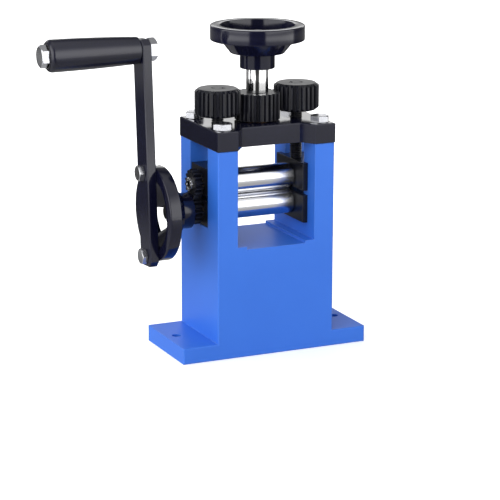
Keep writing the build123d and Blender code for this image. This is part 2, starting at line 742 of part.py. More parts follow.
# ---------------------------------------------------------------- crank arm
arm_half = arm_width / 2
arm_top = crank_throw + arm_end
arm_bottom = -rim_middle - arm_tail
with BuildPart() as crank_arm:
    with BuildSketch(crank_plane(crank_rim_x)):
        with BuildLine():
            Polyline((arm_half, arm_bottom + arm_corner), (arm_half, arm_top - arm_corner),
                     (arm_half - arm_corner, arm_top), (arm_corner - arm_half, arm_top),
                     (-arm_half, arm_top - arm_corner), (-arm_half, arm_bottom + arm_corner),
                     (arm_corner - arm_half, arm_bottom), (arm_half - arm_corner, arm_bottom),
                     close=True)
        make_face()
    extrude(amount=arm_thickness)
    chamfer(crank_arm.faces().filter_by(Axis.X).edges(), edge_break)
    with BuildSketch(crank_plane(crank_rim_x)):
        with Locations((0, -rim_middle), (0, rim_middle)):
            Circle(arm_bolt_diameter / 2 + bolt_hole_clearance)
        with Locations((0, crank_throw)):
            Circle(handle_thread_diameter / 2 + fixed_fit_clearance)
    extrude(amount=arm_thickness, mode=Mode.SUBTRACT)
finish(crank_arm, "crank_arm")

arm_bolt_pair = [hex_bolt(crank_plane(arm_outer_x, place), arm_bolt_head_width,
                          arm_bolt_head_height, arm_bolt_diameter,
                          arm_thickness + arm_bolt_length)
                 for place in (-rim_middle, rim_middle)]
with BuildPart() as crank_arm_bolts:
    for arm_bolt in arm_bolt_pair:
        add(arm_bolt.part)
finish(crank_arm_bolts, "crank_arm_bolts")

# ---------------------------------------------------------------- turning handle
with BuildPart() as handle_grip:
    grip_plane = crank_plane(grip_inner_x, crank_throw)
    grip_bore = handle_shoulder_diameter / 2 + running_clearance
    inner_end = grip_inner_diameter / 2
    outer_end = grip_outer_diameter / 2
    with BuildSketch(axial(grip_plane)):
        with BuildLine():
            Line((grip_bore, 0), (inner_end - grip_inner_round, 0))
            RadiusArc((inner_end - grip_inner_round, 0), (inner_end, grip_inner_round),
                      -grip_inner_round)
            Spline((inner_end, grip_inner_round), (grip_middle_diameter / 2, grip_length / 2),
                   (outer_end, grip_length - grip_outer_round), tangents=((0.12, 1), (0, 1)))
            RadiusArc((outer_end, grip_length - grip_outer_round),
                      (outer_end - grip_outer_round, grip_length), -grip_outer_round)
            Polyline((outer_end - grip_outer_round, grip_length),
                     (grip_recess_diameter / 2, grip_length),
                     (grip_recess_diameter / 2, grip_length - grip_recess_depth),
                     (grip_bore, grip_length - grip_recess_depth), (grip_bore, 0))
        make_face()
    revolve(axis=centre_line(grip_plane))
finish(handle_grip, "handle_grip")

handle_shoulder = hex_bolt(crank_plane(head_seat_x, crank_throw), handle_head_width,
                           handle_head_height, handle_shoulder_diameter,
                           arm_outer_x - head_seat_x, handle_hexagon_turn)
with BuildPart() as handle_bolt:
    add(handle_shoulder.part)
    with BuildSketch(crank_plane(arm_outer_x, crank_throw)):
        Circle(handle_thread_diameter / 2)
    extrude(amount=-(arm_thickness + handle_nut_thickness + handle_thread_spare))
finish(handle_bolt, "handle_bolt")

with BuildPart() as handle_nut:
    nut_plane = crank_plane(crank_rim_x + handle_nut_thickness, crank_throw)
    with BuildSketch(nut_plane):
        RegularPolygon(hexagon_radius(handle_nut_width), 6, rotation=handle_hexagon_turn)
    extrude(amount=handle_nut_thickness)
    with BuildSketch(axial(nut_plane)):
        nut_crown = hexagon_radius(handle_nut_width)
        nut_bevel = nut_crown - handle_nut_width / 2
        with BuildLine():
            Polyline((0, 0), (nut_crown - nut_bevel, 0), (nut_crown, nut_bevel / 2),
                     (nut_crown, handle_nut_thickness), (0, handle_nut_thickness), close=True)
        make_face()
    revolve(axis=centre_line(nut_plane), mode=Mode.INTERSECT)
    with BuildSketch(nut_plane):
        Circle(handle_thread_diameter / 2 + fixed_fit_clearance)
    extrude(amount=handle_nut_thickness, mode=Mode.SUBTRACT)
finish(handle_nut, "handle_nut")
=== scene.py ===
"""Looks of a hand-cranked jewellers rolling mill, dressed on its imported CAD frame.

Sizes are in millimetres until a mesh is made, in the frame that the CAD uses: +Z is up, +X runs
along the rollers away from the crank, and the origin is under the middle of the base.
"""
import logging
from dataclasses import dataclass, field
from enum import Enum
from math import cos, pi, radians, sin, tan

import bmesh
import bpy
import numpy as np
from mathutils import Matrix, Vector


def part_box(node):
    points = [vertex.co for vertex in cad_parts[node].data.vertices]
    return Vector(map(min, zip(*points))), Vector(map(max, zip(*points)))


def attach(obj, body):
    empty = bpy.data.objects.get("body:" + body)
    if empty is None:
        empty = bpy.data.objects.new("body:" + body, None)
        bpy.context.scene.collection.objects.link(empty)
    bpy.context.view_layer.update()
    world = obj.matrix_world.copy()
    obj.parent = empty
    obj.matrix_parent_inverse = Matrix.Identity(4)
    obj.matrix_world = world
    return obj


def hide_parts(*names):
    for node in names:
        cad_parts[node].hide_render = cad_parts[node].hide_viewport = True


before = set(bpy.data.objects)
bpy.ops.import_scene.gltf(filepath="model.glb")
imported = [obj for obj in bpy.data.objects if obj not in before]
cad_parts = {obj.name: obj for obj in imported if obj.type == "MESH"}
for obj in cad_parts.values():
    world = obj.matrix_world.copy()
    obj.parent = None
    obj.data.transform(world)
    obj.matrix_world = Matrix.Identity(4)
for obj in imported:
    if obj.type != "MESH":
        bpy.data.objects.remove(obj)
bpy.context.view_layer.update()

MM = 0.001
LOG = logging.getLogger("rolling mill")
Socket = bpy.types.NodeSocket


# ---- places and surfaces
def extent(node: str) -> tuple[np.ndarray, np.ndarray]:
    """Lowest and highest corner of a CAD node, in millimetres."""
    low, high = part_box(node)
    return np.array(low) / MM, np.array(high) / MM


@dataclass(frozen=True)
class Seat:
    """Where a piece's own axes lie in the frame.

    Attributes:
        origin: place of the piece's own origin, in millimetres.
        start: direction in which its angles start.
        axis: direction of its long axis.
    """

    origin: tuple[float, float, float]
    start: tuple[float, float, float] = (1.0, 0.0, 0.0)
    axis: tuple[float, float, float] = (0.0, 0.0, 1.0)

    def place(self, local: np.ndarray) -> np.ndarray:
        """Turn local points into frame points.

        Args:
            local: array of points whose last axis is (towards start, sideways, along the axis).

        Returns:
            The same array in the frame, in millimetres.
        """
        basis = np.array([self.start, np.cross(self.axis, self.start), self.axis])
        return np.asarray(self.origin) + local @ basis


def across_seat(x: float, z: float) -> Seat:
    """Seat on the rollers' side of the mill, with its axis along +X and its angles from +Y."""
    return Seat((x, 0.0, z), start=(0.0, 1.0, 0.0), axis=(1.0, 0.0, 0.0))


def ring_grid(radius: np.ndarray, along: np.ndarray, angles: np.ndarray) -> np.ndarray:
    """Grid of points round an axis: (radius cos angle, radius sin angle, along).

    Args:
        radius: one value per row, or one per row and column.
        along: the same, for the place along the axis.
        angles: one angle per column, in radians.

    Returns:
        Array of rows by columns by three.
    """
    shape = np.broadcast_shapes(radius.shape, along.shape, angles.shape)
    radius = np.broadcast_to(radius, shape)
    along = np.broadcast_to(along, shape)
    return np.stack((radius * np.cos(angles), radius * np.sin(angles), along), -1)


def quads(rows: int, columns: int, closed_rows: bool) -> np.ndarray:
    """Corner numbers of the quads of a grid whose columns close on themselves.

    Args:
        rows: number of rows.
        columns: number of columns.
        closed_rows: whether the last row also joins the first.

    Returns:
        Array with one line of four corner numbers per quad.
    """
    row = np.arange(rows if closed_rows else rows - 1)[:, None]
    column = np.arange(columns)[None, :]
    below, above = row * columns, (row + 1) % rows * columns
    beside = (column + 1) % columns
    corners = (below + column, below + beside, above + beside, above + column)
    return np.stack(corners, -1).reshape(-1, 4)


def piece_from(name: str, points: np.ndarray, faces: list,
               sharp_deg: float = 32.0) -> bpy.types.Object:
    """Make a closed, outward-facing mesh piece of points in millimetres.

    Args:
        name: name of the piece.
        points: array of frame points.
        faces: corner numbers of each face.
        sharp_deg: an edge between faces that turn by more than this stays sharp.

    Returns:
        The linked object, at the origin.
    """
    mesh = bpy.data.meshes.new(name)
    mesh.from_pydata((points.reshape(-1, 3) * MM).tolist(), [], faces)
    shell = bmesh.new()
    shell.from_mesh(mesh)
    bmesh.ops.remove_doubles(shell, verts=shell.verts, dist=0.0005 * MM)
    bmesh.ops.recalc_face_normals(shell, faces=shell.faces)
    shell.to_mesh(mesh)
    shell.free()
    mesh.shade_smooth()
    mesh.set_sharp_from_angle(angle=radians(sharp_deg))
    piece = bpy.data.objects.new(name, mesh)
    bpy.context.scene.collection.objects.link(piece)
    return piece


def soften(piece: bpy.types.Object, width_mm: float) -> None:
    """Round a piece's sharp edges with a live bevel that reaches width_mm from them."""
    bevel = piece.modifiers.new("broken edges", "BEVEL")
    bevel.width = width_mm * MM
    bevel.segments = 2
    bevel.limit_method = "ANGLE"
    bevel.angle_limit = radians(38.0)
    bevel.harden_normals = True


def rounded(corners: list[tuple[float, float, float]], closed: bool, steps: int = 6) -> np.ndarray:
    """Outline with its corners turned into arcs tangent to both neighbours.

    Each corner (radius, along, round) gives an arc about a centre on the corner's bisector.

    Args:
        corners: the outline's corners, each with the radius of its round.
        closed: whether the last corner joins the first.
        steps: arc steps per rounded corner.

    Returns:
        Array of (radius, along) points.
    """
    points = np.array([corner[:2] for corner in corners], float)
    outline = []
    for i, (_, _, round_radius) in enumerate(corners):
        at_end = not closed and i in (0, len(corners) - 1)
        if at_end or round_radius <= 0:
            outline.append(points[i])
            continue
        before = points[i - 1] - points[i]
        after = points[(i + 1) % len(points)] - points[i]
        before /= np.linalg.norm(before)
        after /= np.linalg.norm(after)
        half = np.arccos(np.clip(before @ after, -1, 1)) / 2
        middle = (before + after) / np.linalg.norm(before + after)
        centre = points[i] + middle * round_radius / sin(half)
        reach = round_radius / tan(half)
        first, last = points[i] + before * reach - centre, points[i] + after * reach - centre
        share = np.linspace(0, 1, steps + 1)[:, None]
        spread = pi - 2 * half
        arc = (np.sin((1 - share) * spread) * first + np.sin(share * spread) * last) / sin(spread)
        outline.extend(centre + arc)
    return np.array(outline)


def around(columns: int) -> np.ndarray:
    """One row of evenly spaced angles round an axis, in radians."""
    return np.linspace(0, 2 * pi, columns, endpoint=False)[None, :]


def skin(name: str, grid: np.ndarray, seat: Seat, closed_rows: bool,
         sharp_deg: float = 32.0) -> bpy.types.Object:
    """Lay a grid of local points on a seat and make it a piece.

    Args:
        name: name of the piece.
        grid: points by row and column, whose columns close on themselves.
        seat: where it lies.
        closed_rows: whether the last row also joins the first.
        sharp_deg: an edge between faces that turn by more than this stays sharp.

    Returns:
        The piece.
    """
    rows, columns = grid.shape[:2]
    return piece_from(name, seat.place(grid), quads(rows, columns, closed_rows).tolist(), sharp_deg)


def lathe(name: str, outline: np.ndarray, seat: Seat, closed: bool, steps: int) -> bpy.types.Object:
    """Surface of revolution of an outline about a seat's axis.

    Args:
        name: name of the piece.
        outline: (radius, along) points.
        seat: where the axis lies.
        closed: whether the outline is a closed loop, as for a ring.
        steps: number of columns round the axis.

    Returns:
        The piece.
    """
    return skin(name, ring_grid(outline[:, :1], outline[:, 1:], around(steps)), seat, closed)


def join(name: str, pieces: list[bpy.types.Object]) -> bpy.types.Object:
    """Join the meshes of several pieces into the first one.

    Args:
        name: name of the joined piece.
        pieces: pieces with no modifiers.

    Returns:
        The first piece, which holds all the meshes.
    """
    shell = bmesh.new()
    for piece in pieces:
        shell.from_mesh(piece.data)
    shell.to_mesh(pieces[0].data)
    shell.free()
    for piece in pieces[1:]:
        bpy.data.objects.remove(piece)
    pieces[0].name = name
    return pieces[0]


# ---- finishes
def linear(hex_colour: str) -> tuple[float, float, float, float]:
    """Turn an sRGB hex colour into the linear RGBA that shaders take."""
    channels = [int(hex_colour[i:i + 2], 16) / 255 for i in (1, 3, 5)]
    return (*[c / 12.92 if c <= 0.04045 else ((c + 0.055) / 1.055) ** 2.4 for c in channels], 1.0)


class Shader:
    """Node tree of one material or world, with short ways to add its nodes."""

    def __init__(self, owner: bpy.types.Material | bpy.types.World) -> None:
        """Clear the owner's node tree."""
        owner.use_nodes = True
        self.tree = owner.node_tree
        self.tree.nodes.clear()

    def add(self, kind: str, settings: dict | None = None) -> bpy.types.Node:
        """Add a node.

        Args:
            kind: name of the node's type, after the prefix that all types share.
            settings: values or output sockets by the name or number of an input, and values by
                the name of an attribute.

        Returns:
            The node.
        """
        node = self.tree.nodes.new(f"ShaderNode{kind}")
        fed = {key: value for key, value in (settings or {}).items()
               if isinstance(key, int) or key in node.inputs}
        for key, value in (settings or {}).items():
            if key not in fed:
                setattr(node, key, value)
        for key, value in fed.items():
            if isinstance(value, Socket):
                self.tree.links.new(value, node.inputs[key])
            else:
                node.inputs[key].default_value = value
        return node

    def ranged(self, value: Socket, span: tuple[float, float],
               results: tuple[float, float] = (0.0, 1.0)) -> Socket:
        """Map a value's span onto two results in a straight line, and hold it beyond both."""
        return self.add("MapRange", {"Value": value, "From Min": span[0], "From Max": span[1],
                                     "To Min": results[0], "To Max": results[1]}).outputs["Result"]

    def math(self, operation: str, *terms: Socket) -> Socket:
        """Result of a sum on numbers."""
        return self.add("Math", {"operation": operation, **dict(enumerate(terms))}).outputs[0]

    def vector(self, operation: str, *terms: Socket | tuple) -> Socket:
        """Result of a sum on vectors: a number for a length or a dot product, else a vector."""
        node = self.add("VectorMath", {"operation": operation, **dict(enumerate(terms))})
        return node.outputs["Value" if operation in ("LENGTH", "DOT_PRODUCT") else "Vector"]

    def mix(self, share: Socket, first: Socket | float, second: Socket | float) -> Socket:
        """Mix two numbers by a share of the second."""
        return self.add("Mix", {"data_type": "FLOAT", 0: share, 2: first, 3: second}).outputs[0]

    def blend(self, share: Socket, first: Socket | tuple, second: Socket | tuple) -> Socket:
        """Mix two colours by a share of the second."""
        return self.add("Mix", {"data_type": "RGBA", 0: share, 6: first, 7: second}).outputs[2]

    def noise(self, place: Socket, size_mm: float, detail: float) -> Socket:
        """Noise with features of about the given size."""
        return self.add("TexNoise", {"Vector": place, "Scale": 1 / (size_mm * MM),
                                     "Detail": detail}).outputs["Fac"]


class Marks(Enum):
    """How much longer than wide a finish's fine marks are along X, Y and Z, and their axis."""

    EVEN = ((1.0, 1.0, 1.0), "")
    RINGS_ROUND_X = ((1.0, 26.0, 26.0), "X")
    RINGS_ROUND_Z = ((26.0, 26.0, 1.0), "Z")


# noise between which soft patches change colour, and the cosine between a rounded and a flat normal
# between which the painted highlight on an edge grows to its whole
PATCH_SPAN = (0.3, 0.7)
EDGE_HIGHLIGHT_SPAN = (0.97, 0.75)
QUARTER_TURN = 0.25


@dataclass(frozen=True)
class Finish:
    """A surface's material and how it was made.

    Attributes:
        name: common name of the material and its surface.
        colour: main colour, in sRGB hex.
        tone: colour that soft patches drift to.
        edge_highlight: colour of the painted highlight on the broken edges.
        metallic: 1 for bare metal.
        roughness: middle roughness.
        rough_spread: how far the roughness drifts up and down.
        ior: refractive index, which only a non-metal changes.
        patch_mm: size of the soft patches.
        mark_mm: width of the fine marks.
        mark_height_mm: height of the fine marks.
        marks: which way the marks run.
        anisotropy: how far the rings spread a reflection along their axis.
        edge_mm: radius of the broken edges.
        edge_highlight_share: how much of the painted highlight colour an edge takes.
    """

    name: str
    colour: str
    tone: str
    edge_highlight: str
    metallic: float = 0.0
    roughness: float = 0.4
    rough_spread: float = 0.05
    ior: float = 1.5
    patch_mm: float = 40.0
    mark_mm: float = 0.6
    mark_height_mm: float = 0.004
    marks: Marks = Marks.EVEN
    anisotropy: float = 0.0
    edge_mm: float = 0.4
    edge_highlight_share: float = 0.5

    def material(self) -> bpy.types.Material:
        """Build the finish's material from noise on Object coordinates.

        Returns:
            The material, the same one each time the finish is asked for.
        """
        known = bpy.data.materials.get(self.name)
        if known:
            return known
        made = bpy.data.materials.new(self.name)
        shader = Shader(made)
        lengths, ring_axis = self.marks.value
        place = shader.add("TexCoord").outputs["Object"]
        stretched = shader.add("Mapping", {"Vector": place,
                                           "Scale": tuple(1 / length for length in lengths)})
        patches = shader.noise(place, self.patch_mm, 3.0)
        fine = shader.noise(stretched.outputs["Vector"], self.mark_mm, 2.0)
        body = shader.blend(shader.ranged(patches, PATCH_SPAN), linear(self.colour),
                            linear(self.tone))
        # the painted edge highlight goes on a broken edge, which is where the rounded normal leaves
        # the flat one
        bevel = shader.add("Bevel", {"samples": 4, "Radius": self.edge_mm * MM})
        rounded_normal = bevel.outputs["Normal"]
        flat_normal = shader.add("NewGeometry").outputs["Normal"]
        agreement = shader.vector("DOT_PRODUCT", rounded_normal, flat_normal)
        edge = shader.ranged(agreement, EDGE_HIGHLIGHT_SPAN, (0.0, self.edge_highlight_share))
        rough = shader.ranged(patches, (0.0, 1.0), (self.roughness - self.rough_spread,
                                                    self.roughness + self.rough_spread))
        bump = shader.add("Bump", {"Distance": self.mark_height_mm * MM, "Height": fine,
                                   "Normal": rounded_normal})
        # the base colour takes the painted highlight colour on the broken edges
        surface = {"Metallic": self.metallic, "IOR": self.ior, "Roughness": rough,
                   "Base Color": shader.blend(edge, body, linear(self.edge_highlight)),
                   "Normal": bump.outputs["Normal"]}
        if self.anisotropy:
            # turned or lapped rings spread a highlight along the axis that they run round
            rings = shader.add("Tangent", {"direction_type": "RADIAL", "axis": ring_axis})
            surface |= {"Tangent": rings.outputs["Tangent"], "Anisotropic": self.anisotropy,
                        "Anisotropic Rotation": QUARTER_TURN}
        coated = shader.add("BsdfPrincipled", surface)
        shader.add("OutputMaterial", {"Surface": coated.outputs["BSDF"]})
        return made


# The third colour of each finish is a painted highlight laid on its broken edges.
# Satin powder coat on a machined steel body: one deep colour, a soft sheen and a faint orange peel.
BLUE_COAT = Finish("blue satin powder coat", "#2F6BD1", "#326FD5", "#86AEF4", metallic=0.1,
                   roughness=0.44, rough_spread=0.04, ior=1.48, patch_mm=60.0, mark_mm=1.1,
                   mark_height_mm=0.012, edge_mm=0.7, edge_highlight_share=0.45)
# Gloss stoving enamel on machined steel: blue-black, sharp reflections, and a painted highlight on the
# edges.
BLACK_ENAMEL = Finish("black gloss enamel", "#0A0B1E", "#0F1024", "#6C7080", roughness=0.12,
                      rough_spread=0.02, ior=1.48, patch_mm=45.0, mark_mm=1.4, mark_height_mm=0.006,
                      edge_mm=0.5, edge_highlight_share=0.45)
# Chemically blackened gear steel with an oil film: dark, with a painted grey highlight on the broken
# edges.
BLACK_OXIDE = Finish("oiled black oxide steel", "#0A0B12", "#12131C", "#5D6274", roughness=0.33,
                     rough_spread=0.06, ior=1.42, patch_mm=18.0, mark_mm=0.5, mark_height_mm=0.008,
                     edge_mm=0.3, edge_highlight_share=0.45)
# Ground and polished hardened steel: a mirror across, with lapping rings that spread it along.
ROLLER_POLISH = Finish("mirror polished roller steel", "#E6E7EA", "#E0E1E5", "#F4F4F4", metallic=1.0,
                       roughness=0.2, rough_spread=0.01, patch_mm=30.0, mark_mm=0.35,
                       mark_height_mm=0.0004, marks=Marks.RINGS_ROUND_X, anisotropy=0.85,
                       edge_mm=0.25, edge_highlight_share=0.3)
# The same polish on the upright shaft, with its rings level.
SHAFT_POLISH = Finish("polished shaft steel", "#EDEDEC", "#E6E6E7", "#F4F4F4", metallic=1.0,
                      roughness=0.1, rough_spread=0.01, patch_mm=25.0, mark_mm=0.35,
                      mark_height_mm=0.0005, marks=Marks.RINGS_ROUND_Z, edge_mm=0.25, edge_highlight_share=0.3)
# Bright zinc plate on forged fasteners: slightly milky, cool grey, soft in the corners.
ZINC_PLATE = Finish("bright zinc plate", "#D0D1D5", "#C2C3C9", "#F2F2F2", metallic=1.0,
                    roughness=0.24, rough_spread=0.05, patch_mm=7.0, mark_mm=0.8,
                    mark_height_mm=0.006, edge_mm=0.35, edge_highlight_share=0.5)
# Turned mild steel left bare: grey, with fine tool rings that catch the light.
TURNED_STEEL = Finish("turned bare steel", "#8B8C90", "#7C7D82", "#C8C8CA", metallic=1.0,
                      roughness=0.32, rough_spread=0.06, patch_mm=8.0, mark_mm=0.3,
                      mark_height_mm=0.004, marks=Marks.RINGS_ROUND_X, edge_mm=0.2, edge_highlight_share=0.4)
# Cast bearing bronze, bored and dark with oil: brown-gold, slightly cloudy.
BEARING_BRONZE = Finish("oiled bearing bronze", "#7A6040", "#665036", "#A89070", metallic=1.0,
                        roughness=0.36, rough_spread=0.08, patch_mm=6.0, mark_mm=0.4,
                        mark_height_mm=0.004, marks=Marks.RINGS_ROUND_X, edge_mm=0.2, edge_highlight_share=0.4)
# Drawn spring steel wire: dark grey with a drawn sheen.
SPRING_WIRE = Finish("drawn spring wire", "#6E7076", "#5C5E64", "#A8A9AD", metallic=1.0,
                     roughness=0.35, rough_spread=0.06, patch_mm=4.0, mark_mm=0.3,
                     mark_height_mm=0.003, edge_mm=0.1, edge_highlight_share=0.2)
# Injection moulded nylon grip: deep navy black, glossy where hands polish it.
MOULDED_GRIP = Finish("glossy moulded nylon", "#0B0C1C", "#101124", "#3B3D4C", roughness=0.24,
                      rough_spread=0.05, ior=1.53, patch_mm=30.0, mark_mm=0.9, mark_height_mm=0.006,
                      edge_mm=0.5, edge_highlight_share=0.3)


def dress(piece: bpy.types.Object, finish: Finish) -> bpy.types.Object:
    """Give a piece or a CAD node one finish on its whole surface."""
    piece.data.materials.clear()
    piece.data.materials.append(finish.material())
    return piece


def dress_nodes(finish: Finish, *names: str) -> None:
    """Dress CAD nodes whose shape stays, and report each."""
    for name in names:
        dress(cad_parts[name], finish)
        LOG.info("dressed %s in %s", name, finish.name)


def seat_piece(piece: bpy.types.Object, finish: Finish, body: str, slot: str, *nodes: str) -> None:
    """Dress a new piece, let it ride on its body and stand for its CAD nodes.

    Args:
        piece: the finished piece.
        finish: its finish.
        body: body that it moves with.
        slot: material slot of the record that it stands for; not used.
        nodes: CAD nodes that it replaces.
    """
    dress(piece, finish)
    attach(piece, body)
    if nodes:
        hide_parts(*nodes)
    LOG.info("built %s on %s", piece.name, body)


# ---- fasteners
@dataclass(frozen=True)
class Thread:
    """A right-hand screw thread cut into a round bar.

    Attributes:
        radius: radius over the crests.
        pitch: rise per turn.
        columns: points round the bar.
        rows_per_turn: points per pitch.
        flank_slope: slope of the trapezoid wave before its crests and roots are cut off.
        root_share: how much of the wave lies below the roots.
    """

    radius: float
    pitch: float
    columns: int = 36
    rows_per_turn: int = 8
    flank_slope: float = 2.3
    root_share: float = 0.65

    def depth(self) -> float:
        """Depth of the cut, six tenths of the pitch."""
        return 0.6 * self.pitch

    def grid(self, low: float, high: float) -> np.ndarray:
        """Threaded surface: radius less a trapezoid wave of (height / pitch - angle / full turn).

        Args:
            low: where the thread starts along the axis.
            high: where it ends.

        Returns:
            Grid of local points, rows from low to high, closed by two rows on the axis.
        """
        angles = around(self.columns)
        rows = max(4, int((high - low) / self.pitch * self.rows_per_turn))
        height = np.linspace(low, high, rows)[:, None]
        phase = (height / self.pitch - angles / (2 * pi)) % 1.0
        wave = np.clip(self.flank_slope * np.abs(2 * phase - 1) - self.root_share, 0, 1)
        run_out = np.clip(np.minimum(height - low, high - height) / self.pitch, 0, 1)
        radius = self.radius - self.depth() * (1 - wave)
        # the crests sink to half the depth where the thread runs out
        body = ring_grid(radius - 0.5 * self.depth() * (1 - run_out) * wave, height, angles)
        caps = [ring_grid(np.zeros((1, 1)), np.full((1, 1), level), angles) for level in (low, high)]
        return np.concatenate((caps[0], body, caps[1]))

    def bar(self, name: str, low: float, high: float, seat: Seat) -> bpy.types.Object:
        """Threaded bar from low to high on a seat."""
        return skin(name, self.grid(low, high), seat, False, 50.0)


@dataclass(frozen=True)
class HexForm:
    """Hexagon of a bolt head or nut, with its corners cut back by a cone.

    Attributes:
        flats: width across flats.
        height: height of the hexagon.
        corner_deg: angle of a corner from the seat's start.
        bore: radius of a hole through it, 0 for none.
        bore: radius of a hole through it, 0 for none.
        dish: depth of the shallow dish in the crown.
        face_share: radius of the flat round face over the width across flats.
        foot: thickness of the washer face under the flats.
        foot_slope: slope under the corners over the crown's.
        crown_width: width of the slope into the dish.
    """

    flats: float
    height: float
    corner_deg: float = 0.0
    bore: float = 0.0
    dish: float = 0.0
    face_share: float = 0.475
    foot: float = 0.25
    foot_slope: float = 0.4
    crown_width: float = 1.1

    def piece(self, name: str, seat: Seat) -> bpy.types.Object:
        """Build the hexagon on a seat, its underside at 0.

        A side's radius is half the flats over the cosine of the angle from its middle. The cone
        lowers the crown by the tangent of 30 degrees for each millimetre past the flats.

        Args:
            name: name of the piece.
            seat: where it sits, with its axis towards the crown.

        Returns:
            The piece.
        """
        angles = around(96)
        turned = (angles - radians(self.corner_deg)) % (pi / 3) - pi / 6
        side = self.flats / 2 / np.cos(turned)
        face_radius = self.flats * self.face_share
        drop = np.maximum(side - face_radius, 0) * tan(radians(30))
        rows = [
            (self.bore, 0),
            (face_radius, 0),
            (np.minimum(side, face_radius), self.foot),
            (side, self.foot + self.foot_slope * drop),
            (side, self.height - drop),
            (face_radius, self.height),
            (face_radius - self.crown_width, self.height - self.dish),
            (self.bore, self.height - self.dish),
        ]
        radius, along = (np.concatenate([row[part] + np.zeros_like(angles) for row in rows])
                         for part in (0, 1))
        return skin(name, ring_grid(radius, along, angles), seat, self.bore > 0, 24.0)


@dataclass(frozen=True)
class Bolt:
    """Hexagon bolt with a threaded shank behind its head.

    Attributes:
        head: hexagon of the head.
        thread: thread of the shank.
        length: length of the shank.
        shoulder: radius and length of a plain stretch under the head.
    """

    head: HexForm
    thread: Thread
    length: float
    shoulder: tuple[float, float] = (0.0, 0.0)

    def piece(self, name: str, seat: Seat) -> bpy.types.Object:
        """Build the bolt with its head's underside on the seat and its shank behind it."""
        radius, reach = self.shoulder
        parts = [self.head.piece(name, seat),
                 self.thread.bar("shank", -self.length, -reach, seat)]
        if reach > 0:
            edge = 0.4
            outline = np.array([(0, -reach), (radius - edge, -reach), (radius, edge - reach),
                                (radius, 0), (0, 0)])
            parts.append(lathe("shoulder", outline, seat, False, 64))
        return join(name, parts)


M8 = Thread(4.0, 1.25, 24, 6)
CROWN_DISH = 0.15


def hub_bolt(head_height: float, length: float) -> Bolt:
    """Bolt in a wheel's boss, 13 mm across its flats, with a shank of the given length."""
    return Bolt(HexForm(13.0, head_height, dish=CROWN_DISH), M8, length)


# ---- gears
@dataclass(frozen=True)
class Keyway:
    """Half-round keyway on the joint line between a shaft and a bore."""

    shaft_radius: float
    pin_radius: float
    angle_deg: float

    def _swing(self, angles: np.ndarray) -> tuple[np.ndarray, np.ndarray]:
        """Cosine part and square-root part of the pin circle's polar radius, with -1 outside it."""
        off = angles - radians(self.angle_deg)
        square = self.pin_radius ** 2 - (self.shaft_radius * np.sin(off)) ** 2
        hit = (square > 0) & (np.cos(off) > 0)
        return self.shaft_radius * np.cos(off), np.where(hit, np.sqrt(np.maximum(square, 0)), -1)

    def bore(self, angles: np.ndarray) -> np.ndarray:
        """Radius of the bore by angle: the shaft's, or the far side of the pin."""
        middle, reach = self._swing(angles)
        return np.where(reach >= 0, np.maximum(middle + reach, self.shaft_radius), self.shaft_radius)

    def shaft(self, angles: np.ndarray) -> np.ndarray:
        """Radius of the shaft by angle: its own, or the near side of the pin."""
        middle, reach = self._swing(angles)
        return np.where(reach >= 0, np.minimum(middle - reach, self.shaft_radius), self.shaft_radius)


@dataclass(frozen=True)
class SpurGear:
    """Spur gear whose tooth flanks are involutes.

    Attributes:
        teeth: number of teeth.
        module: pitch diameter over teeth.
        addendum: tooth height above the pitch circle.
        pressure_deg: pressure angle.
        backlash: play at the pitch circle.
        first_tooth_deg: angle of one tooth's middle.
        bevel: how far the ends' cone cuts into the tips.
        bevel_height: how far the cone reaches along the axis.
        keyway: keyway in the bore.
        root_clearance: gap under a mating tooth.
        foot_turn: angle within which a flank drops to the root, in radians.
        bore_break: chamfer at the bore's ends.
    """

    teeth: int
    module: float
    addendum: float
    pressure_deg: float
    backlash: float
    first_tooth_deg: float
    bevel: float
    bevel_height: float
    keyway: Keyway
    root_clearance: float = 0.45
    foot_turn: float = 0.006
    bore_break: float = 0.4
    flank_points: int = 24
    columns_per_tooth: int = 22

    def tooth_radius(self, angles: np.ndarray) -> np.ndarray:
        """Radius of the toothed outline by angle.

        On a flank the half tooth angle at a radius is the one at the pitch circle plus the
        involute of the pressure angle less the involute at that radius. It is read backwards.

        Args:
            angles: angles in radians.

        Returns:
            One radius per angle.
        """
        pitch_radius = self.module * self.teeth / 2
        pressure = radians(self.pressure_deg)
        base = pitch_radius * cos(pressure)
        root = pitch_radius - self.addendum - self.root_clearance
        radii = np.linspace(max(root, base), pitch_radius + self.addendum, self.flank_points)
        at_radius = np.arccos(np.clip(base / radii, -1, 1))
        swing = (tan(pressure) - pressure) - (np.tan(at_radius) - at_radius)
        half = pi / (2 * self.teeth) - self.backlash / (4 * pitch_radius) + swing
        off = np.abs((angles - radians(self.first_tooth_deg) + pi / self.teeth) % (2 * pi / self.teeth)
                     - pi / self.teeth)
        foot = half[0] + self.foot_turn
        return np.interp(off, np.append(half[::-1], foot), np.append(radii[::-1], root))

    def piece(self, name: str, seat: Seat, height: float) -> bpy.types.Object:
        """Build the gear on a seat, from 0 to its height.

        Args:
            name: name of the piece.
            seat: where it sits, its axis along the gear's.
            height: length along the axis.

        Returns:
            The piece.
        """
        angles = around(self.teeth * self.columns_per_tooth)
        tooth = self.tooth_radius(angles)
        tip = self.module * self.teeth / 2 + self.addendum
        bore = self.keyway.bore(angles)
        rise = np.linspace(0, 1, 7)
        low = rise * self.bevel_height
        cone = tip - self.bevel * (1 - rise)
        levels = np.concatenate((low, height - low[::-1]))
        limits = np.concatenate((cone, cone[::-1]))
        # at each level the cone cuts off what reaches past it
        side = np.minimum(tooth, limits[:, None])
        inner = np.minimum(bore + self.bore_break, side[:1])
        radius = np.concatenate((bore, inner, side, inner, bore))
        along = np.concatenate(([self.bore_break], [0], levels, [height], [height - self.bore_break]))
        return skin(name, ring_grid(radius, along[:, None], angles), seat, True, 34.0)


